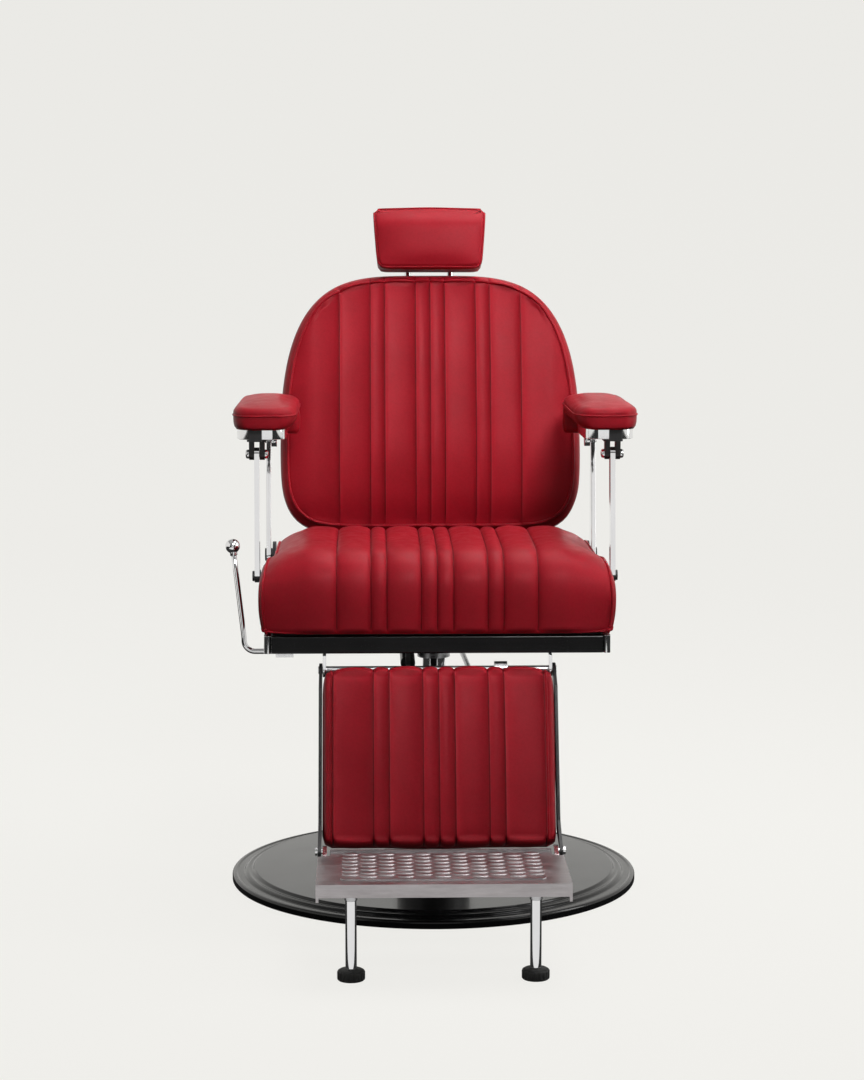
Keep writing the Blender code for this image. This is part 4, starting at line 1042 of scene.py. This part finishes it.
def make_lever():
    """The bent release lever with its ball and its cam."""
    ball = Vector((-0.3285, -0.122, 0.58))
    y, z = -0.15, 0.412
    down = Vector((-0.3102, y + 0.0029, z + 0.023))
    bend = []
    centre = Vector((-0.2925, y, z + 0.0175))
    for k in range(9):
        turn = radians(188.0 + 82.0 * k / 8)
        lift = 1.0 - k / 8
        bend.append(centre + Vector((0.0175 * cos(turn), 0.0024 * lift, 0.0175 * sin(turn))))
    path = [ball, ball.lerp(down, 0.25), ball.lerp(down, 0.6), down] + bend
    path += [Vector((-0.24, y, z)), Vector((-0.04, y, z))]
    rod = tube("release_lever", path, 0.0045, 20, "chrome", "lever")
    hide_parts("recline_lever")
    heading = (ball - down).normalized()
    turn = Vector((0.0, 0.0, 1.0)).rotation_difference(heading).to_matrix().to_4x4()
    profile = [(0.0001, -0.0155), (0.0055, -0.0155), (0.0062, -0.0146), (0.0062, -0.0105)]
    for degrees in range(-58, 90, 8):
        angle = radians(degrees)
        profile.append((0.012 * cos(angle), 0.012 * sin(angle)))
    profile.append((0.0001, 0.012))
    lathe("lever_ball", profile, 48, Matrix.Translation(ball) @ turn, "chrome", "lever", 50.0)
    cam = [(-0.0055, 0.0), (-0.0075, 0.006), (0.0, 0.0078), (0.0075, 0.006), (0.0055, 0.0), (0.0045, -0.021),
           (0.0, -0.025), (-0.0045, -0.021)]
    vertices = [(x, y + a, z + b) for x in (-0.049, -0.041) for a, b in cam]
    add_object("lever_cam", vertices, layer_faces(2, len(cam)), "steel", "lever", 50.0)


def make_feet():
    """The posts of the footplate with their collars and ribbed rubber feet."""
    for name, _ in SIDES:
        low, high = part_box(f"rubber_foot_{name}")
        centre = Vector((0.5 * (low.x + high.x), 0.5 * (low.y + high.y), 0.0))
        r = 0.5 * (high.x - low.x)
        place = Matrix.Translation(centre)
        profile = [(0.0002, 0.0), (r - 0.0015, 0.0), (r - 0.0002, 0.0014), (r, 0.003), (r, 0.0122),
                   (r - 0.001, 0.0138), (r - 0.0034, 0.0153), (0.0112, 0.0156), (0.0098, 0.016),
                   (0.0002, 0.016)]
        foot = lathe(f"foot_{name}", profile, 120, place, "rubber", "footplate",
                     ribs=(0.002, 0.013, 20, 0.0011))
        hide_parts(f"rubber_foot_{name}")
        post = [(0.0002, 0.0163), (0.0083, 0.0163), (0.0083, 0.13), (0.0002, 0.1305)]
        leg = lathe(f"foot_tube_{name}", fillet(post, 0.0005, 2), 48, place, "chrome", "footplate", 30.0)
        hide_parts(f"foot_post_{name}")
        collar = [(0.0002, 0.1186), (0.0088, 0.1186), (0.0095, 0.1194), (0.0095, 0.1462), (0.0002, 0.1465)]
        lathe(f"foot_collar_{name}", fillet(collar, 0.0004, 2), 48, place, "steel", "footplate", 30.0)


TREAD_PITCH = (0.0272, 0.0206)
TREAD_FRONT, TREAD_REAR = -0.6105, -0.456
TREAD_HALF_FLAT, TREAD_SLANT, TREAD_HALF_DEPTH = 0.0075, 0.005, 0.006


def make_step():
    """The cast footplate: the refined plate with hexagonal treads on its top and two bright slots behind."""
    refined("footplate", 0.0)
    top = 0.1528
    vertices, faces = [], []
    for column in range(-5, 6):
        for row in range(7):
            y = -0.535 + (row - 3) * TREAD_PITCH[1] + (0.5 * TREAD_PITCH[1] if column % 2 else 0.0)
            if not TREAD_FRONT < y - 0.0056 or y + 0.0056 > TREAD_REAR:
                continue
            x = column * TREAD_PITCH[0]
            start = len(vertices)
            for grow, z in ((1.0, top - 0.0003), (0.94, top + 0.0009), (0.72, top + 0.0015)):
                a = TREAD_HALF_FLAT * (0.4 + 0.6 * grow)
                b = a + TREAD_SLANT * grow
                h = TREAD_HALF_DEPTH * grow
                rim = ((-b, 0.0), (-a, -h), (a, -h), (b, 0.0), (a, h), (-a, h))
                vertices += [(x + p, y + q, z) for p, q in rim]
            faces += layer_faces(3, 6, start)
    add_object("step_treads", vertices, faces, "cast_aluminium", "footplate", 50.0)
    vertices, faces = [], []
    half, tall = 0.0115, 0.0012
    for x in (-0.046, 0.026):
        faces += layer_faces(2, 4, len(vertices))
        for y, grow in ((-0.4407, 1.0), (-0.4416, 0.86)):
            for a, b in ((-half, -tall), (half, -tall), (half, tall), (-half, tall)):
                vertices.append((x + a * grow, y, 0.1534 + b * grow))
    add_object("step_slots", vertices, faces, "chrome", "footplate", 30.0)


def make_headrest_rods():
    matrix = back_matrix()
    rod = [(0.0002, 0.2), (0.0054, 0.2), (0.006, 0.2008), (0.006, TILT_U), (0.0002, TILT_U)]
    for name, side in SIDES:
        place = matrix @ Matrix.Translation((side * 0.038, POST_N, 0.0))
        lathe(f"headrest_rod_{name}", rod, 40, place, "chrome", "headrest_post", 30.0)
    across = matrix @ Matrix.Translation((0.0, POST_N, TILT_U)) @ Matrix.Rotation(pi / 2.0, 4, "Y")
    profile = [(0.0002, -0.0445), (0.0062, -0.0445), (0.007, -0.0437), (0.007, 0.0437), (0.0062, 0.0445),
               (0.0002, 0.0445)]
    bar = lathe("headrest_bridge", profile, 40, across, "chrome", "headrest_post", 30.0)
    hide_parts("headrest_post")
    screw = matrix @ Matrix.Translation((0.0, 0.0, 0.38)) @ Matrix.Rotation(pi / 2.0, 4, "X")
    start = 0.1021
    grip = [(0.0002, -0.0085), (0.0045, -0.0085), (0.0045, 0.003), (0.015, 0.003), (0.0186, 0.0052),
            (0.019, 0.007), (0.019, 0.015), (0.0184, 0.0168), (0.015, 0.0188), (0.0002, 0.019)]
    profile = [(radius, start + height) for radius, height in grip]
    knob = lathe("grip_knob", profile, 96, screw, "black_plastic", "knob",
                 ribs=(start + 0.0048, start + 0.017, 12, 0.0016))
    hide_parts("clamp_knob")


# Bevel widths of the CAD nodes that keep their shape; a name that is no node stands for a left and a right
EDGE_WIDTHS = {
    "front_panel": 0.001, "side_rail": 0.0005, "seat_bracket": 0.0005, "legrest_lug": 0.0005,
    "lever_bearing": 0.0006, "headrest_guide": 0.0008, "front_strut": 0.0008, "rear_strut": 0.0008,
    "arm_housing": 0.0006, "arm_clevis": 0.0004, "legrest_rail": 0.0005, "toe_link": 0.0004,
    "back_frame": 0.0005, "headrest_bracket": 0.0005, "legrest_board": 0.0005, "legrest_shaft": 0.0,
    "seat_mount": 0.0006, "seat_pan": 0.0005, "gas_spring_tube": 0.0, "gas_spring_rod": 0.0,
    "pump_pedal": 0.0006, "pedal_pad": 0.001, "pump_plunger": 0.0, "pedal_pin": 0.0, "sync_rod": 0.0,
    "strut_bush": 0.0004, "swivel_bearing": 0.0004,
}


# ---------------------------------------------------------------- stage, light and camera

def arc_points(y, z, radius, angles, turn=1.0):
    """Points of a quarter bend in a studio sheet, by degrees from its lowest point."""
    turns = [radians(a) for a in angles]
    return [(y + turn * radius * sin(a), z - radius * cos(a)) for a in turns]


def make_stage():
    """A pale paper floor, walls and backdrop, and two cards seen only in reflections."""
    n = Nodes("studio_paper")
    n.set(Base_Color=(0.085, 0.084, 0.081), Roughness=0.9, Specular_IOR_Level=0.0,
          Emission_Color=(0.871, 0.863, 0.831), Emission_Strength=0.94)
    floor = stage_sheet("studio_floor", [(-9.0, 0.0), (1.2, 0.0)], n.material)
    front_sweep = arc_points(-9.0, 2.0, 2.0, range(90, -1, -10), -1.0)
    front_wall = stage_sheet("studio_front_wall", [(-11.0, 9.0)] + front_sweep, n.material)
    back_sweep = arc_points(5.0, 2.0, 2.0, range(0, 91, 10))
    stage_sheet("studio_backdrop", [(1.2, 0.0)] + back_sweep + [(7.0, 9.0)], n.material)
    for name, side in SIDES:
        corners = [(9.0 * side, y, z) for y, z in ((-11.0, -0.1), (7.0, -0.1), (7.0, 9.0), (-11.0, 9.0))]
        stage_object(f"studio_wall_{name}", corners, [(0, 1, 2, 3)], n.material)
    for sheet in (floor, front_wall):
        sheet.visible_glossy = False
    card = Nodes("reflector_card")
    card.set(Base_Color=(0.0, 0.0, 0.0), Specular_IOR_Level=0.0, Roughness=1.0,
             Emission_Color=(1.0, 0.995, 0.98), Emission_Strength=0.85)
    low_card = stage_sheet("reflector_low", [(-2.6, 0.004), (-0.645, 0.004)], card.material, 1.3)
    wide_card = stage_sheet("reflector_front", [(-5.0, 0.25), (-5.0, 1.9)], card.material, 1.2)
    for reflector in (low_card, wide_card):
        reflector.visible_camera = False
        reflector.visible_shadow = False


def stage_sheet(name, profile, material, half=9.0):
    """A sheet of paper or card across the stage, from its side profile of (y, z)."""
    vertices = [(x, y, z) for x in (-half, half) for y, z in profile]
    count = len(profile)
    faces = [(k, k + 1, count + k + 1, count + k) for k in range(count - 1)]
    return stage_object(name, vertices, faces, material)


def stage_object(name, vertices, faces, material):
    """A sheet of the studio that throws no light on the chair by itself."""
    mesh = bpy.data.meshes.new(name)
    mesh.from_pydata(vertices, [], faces)
    mesh.shade_smooth()
    mesh.materials.append(material)
    sheet = new_object(name, mesh)
    sheet.visible_diffuse = False
    return sheet


def make_world():
    world = bpy.data.worlds.new("studio")
    bpy.context.scene.world = world
    world.use_nodes = True
    tree = world.node_tree
    place = tree.nodes.new("ShaderNodeTexCoord")
    split = tree.nodes.new("ShaderNodeSeparateXYZ")
    ramp = tree.nodes.new("ShaderNodeValToRGB")
    stops = ((0.0, 0.06), (0.47, 0.05), (0.56, 0.12), (0.74, 0.3), (1.0, 0.7))
    while len(ramp.color_ramp.elements) < len(stops):
        ramp.color_ramp.elements.new(0.5)
    for element, (position, value) in zip(ramp.color_ramp.elements, stops):
        element.position = position
        element.color = (value, value, value * 0.985, 1.0)
    scale = tree.nodes.new("ShaderNodeMapRange")
    scale.inputs["From Min"].default_value = -1.0
    scale.inputs["From Max"].default_value = 1.0
    tree.links.new(place.outputs["Generated"], split.inputs["Vector"])
    tree.links.new(split.outputs["Z"], scale.inputs["Value"])
    tree.links.new(scale.outputs["Result"], ramp.inputs["Fac"])
    background = tree.nodes["Background"]
    background.inputs["Strength"].default_value = 0.62
    tree.links.new(ramp.outputs["Color"], background.inputs["Color"])


def area_light(name, place, target, size, power, spread=180.0):
    light = bpy.data.lights.new(name, "AREA")
    light.shape = "RECTANGLE"
    light.size, light.size_y = size
    light.energy = power
    light.spread = radians(spread)
    obj = new_object(name, light)
    obj.location = place
    obj.rotation_euler = (Vector(target) - Vector(place)).to_track_quat("-Z", "Y").to_euler()


def make_lights():
    area_light("top_softbox", (0.6, 0.25, 2.9), (0.0, 0.0, 0.6), (1.9, 1.5), 34.0)
    area_light("front_key", (0.7, -2.5, 2.7), (0.0, 0.15, 0.9), (1.0, 0.9), 4.6, 42.0)
    area_light("right_strip", (2.6, -0.4, 1.5), (0.0, 0.0, 0.6), (0.7, 2.0), 8.0, 110.0)


def make_camera():
    distance, focal, height = 4.2, 84.4, 1.081
    azimuth, pitch = radians(-1.4), radians(6.88)
    data = bpy.data.cameras.new("camera")
    data.sensor_fit = "VERTICAL"
    data.sensor_height = 36.0
    data.lens = focal
    data.shift_x = -0.0014
    data.dof.use_dof = False
    camera = new_object("camera", data)
    camera.location = (distance * sin(azimuth), -distance * cos(azimuth), height)
    level = cos(pitch)
    heading = Vector((-sin(azimuth) * level, cos(azimuth) * level, -sin(pitch)))
    camera.rotation_euler = heading.to_track_quat("-Z", "Y").to_euler()
    bpy.context.scene.camera = camera


# ---------------------------------------------------------------- assembly

def main():
    make_camera()
    make_stage()
    make_world()
    make_lights()
    bpy.context.scene.view_settings.view_transform = "Standard"
    for node, obj in NODES.items():
        obj.material_slots[0].material = LOOKS[SLOT_OF[node]]
    for name, width in EDGE_WIDTHS.items():
        for node in [name] if name in NODES else [f"{name}_{side}" for side, _ in SIDES]:
            refined(node, width)
    make_base()
    make_pump()
    make_lever()
    make_feet()
    make_step()
    make_headrest_rods()
    make_back()
    make_back_board()
    make_headrest()
    make_seat()
    make_legrest()
    for name, side in SIDES:
        make_arm_pad(name, side)
        make_arm_bracket(name, side)


main()
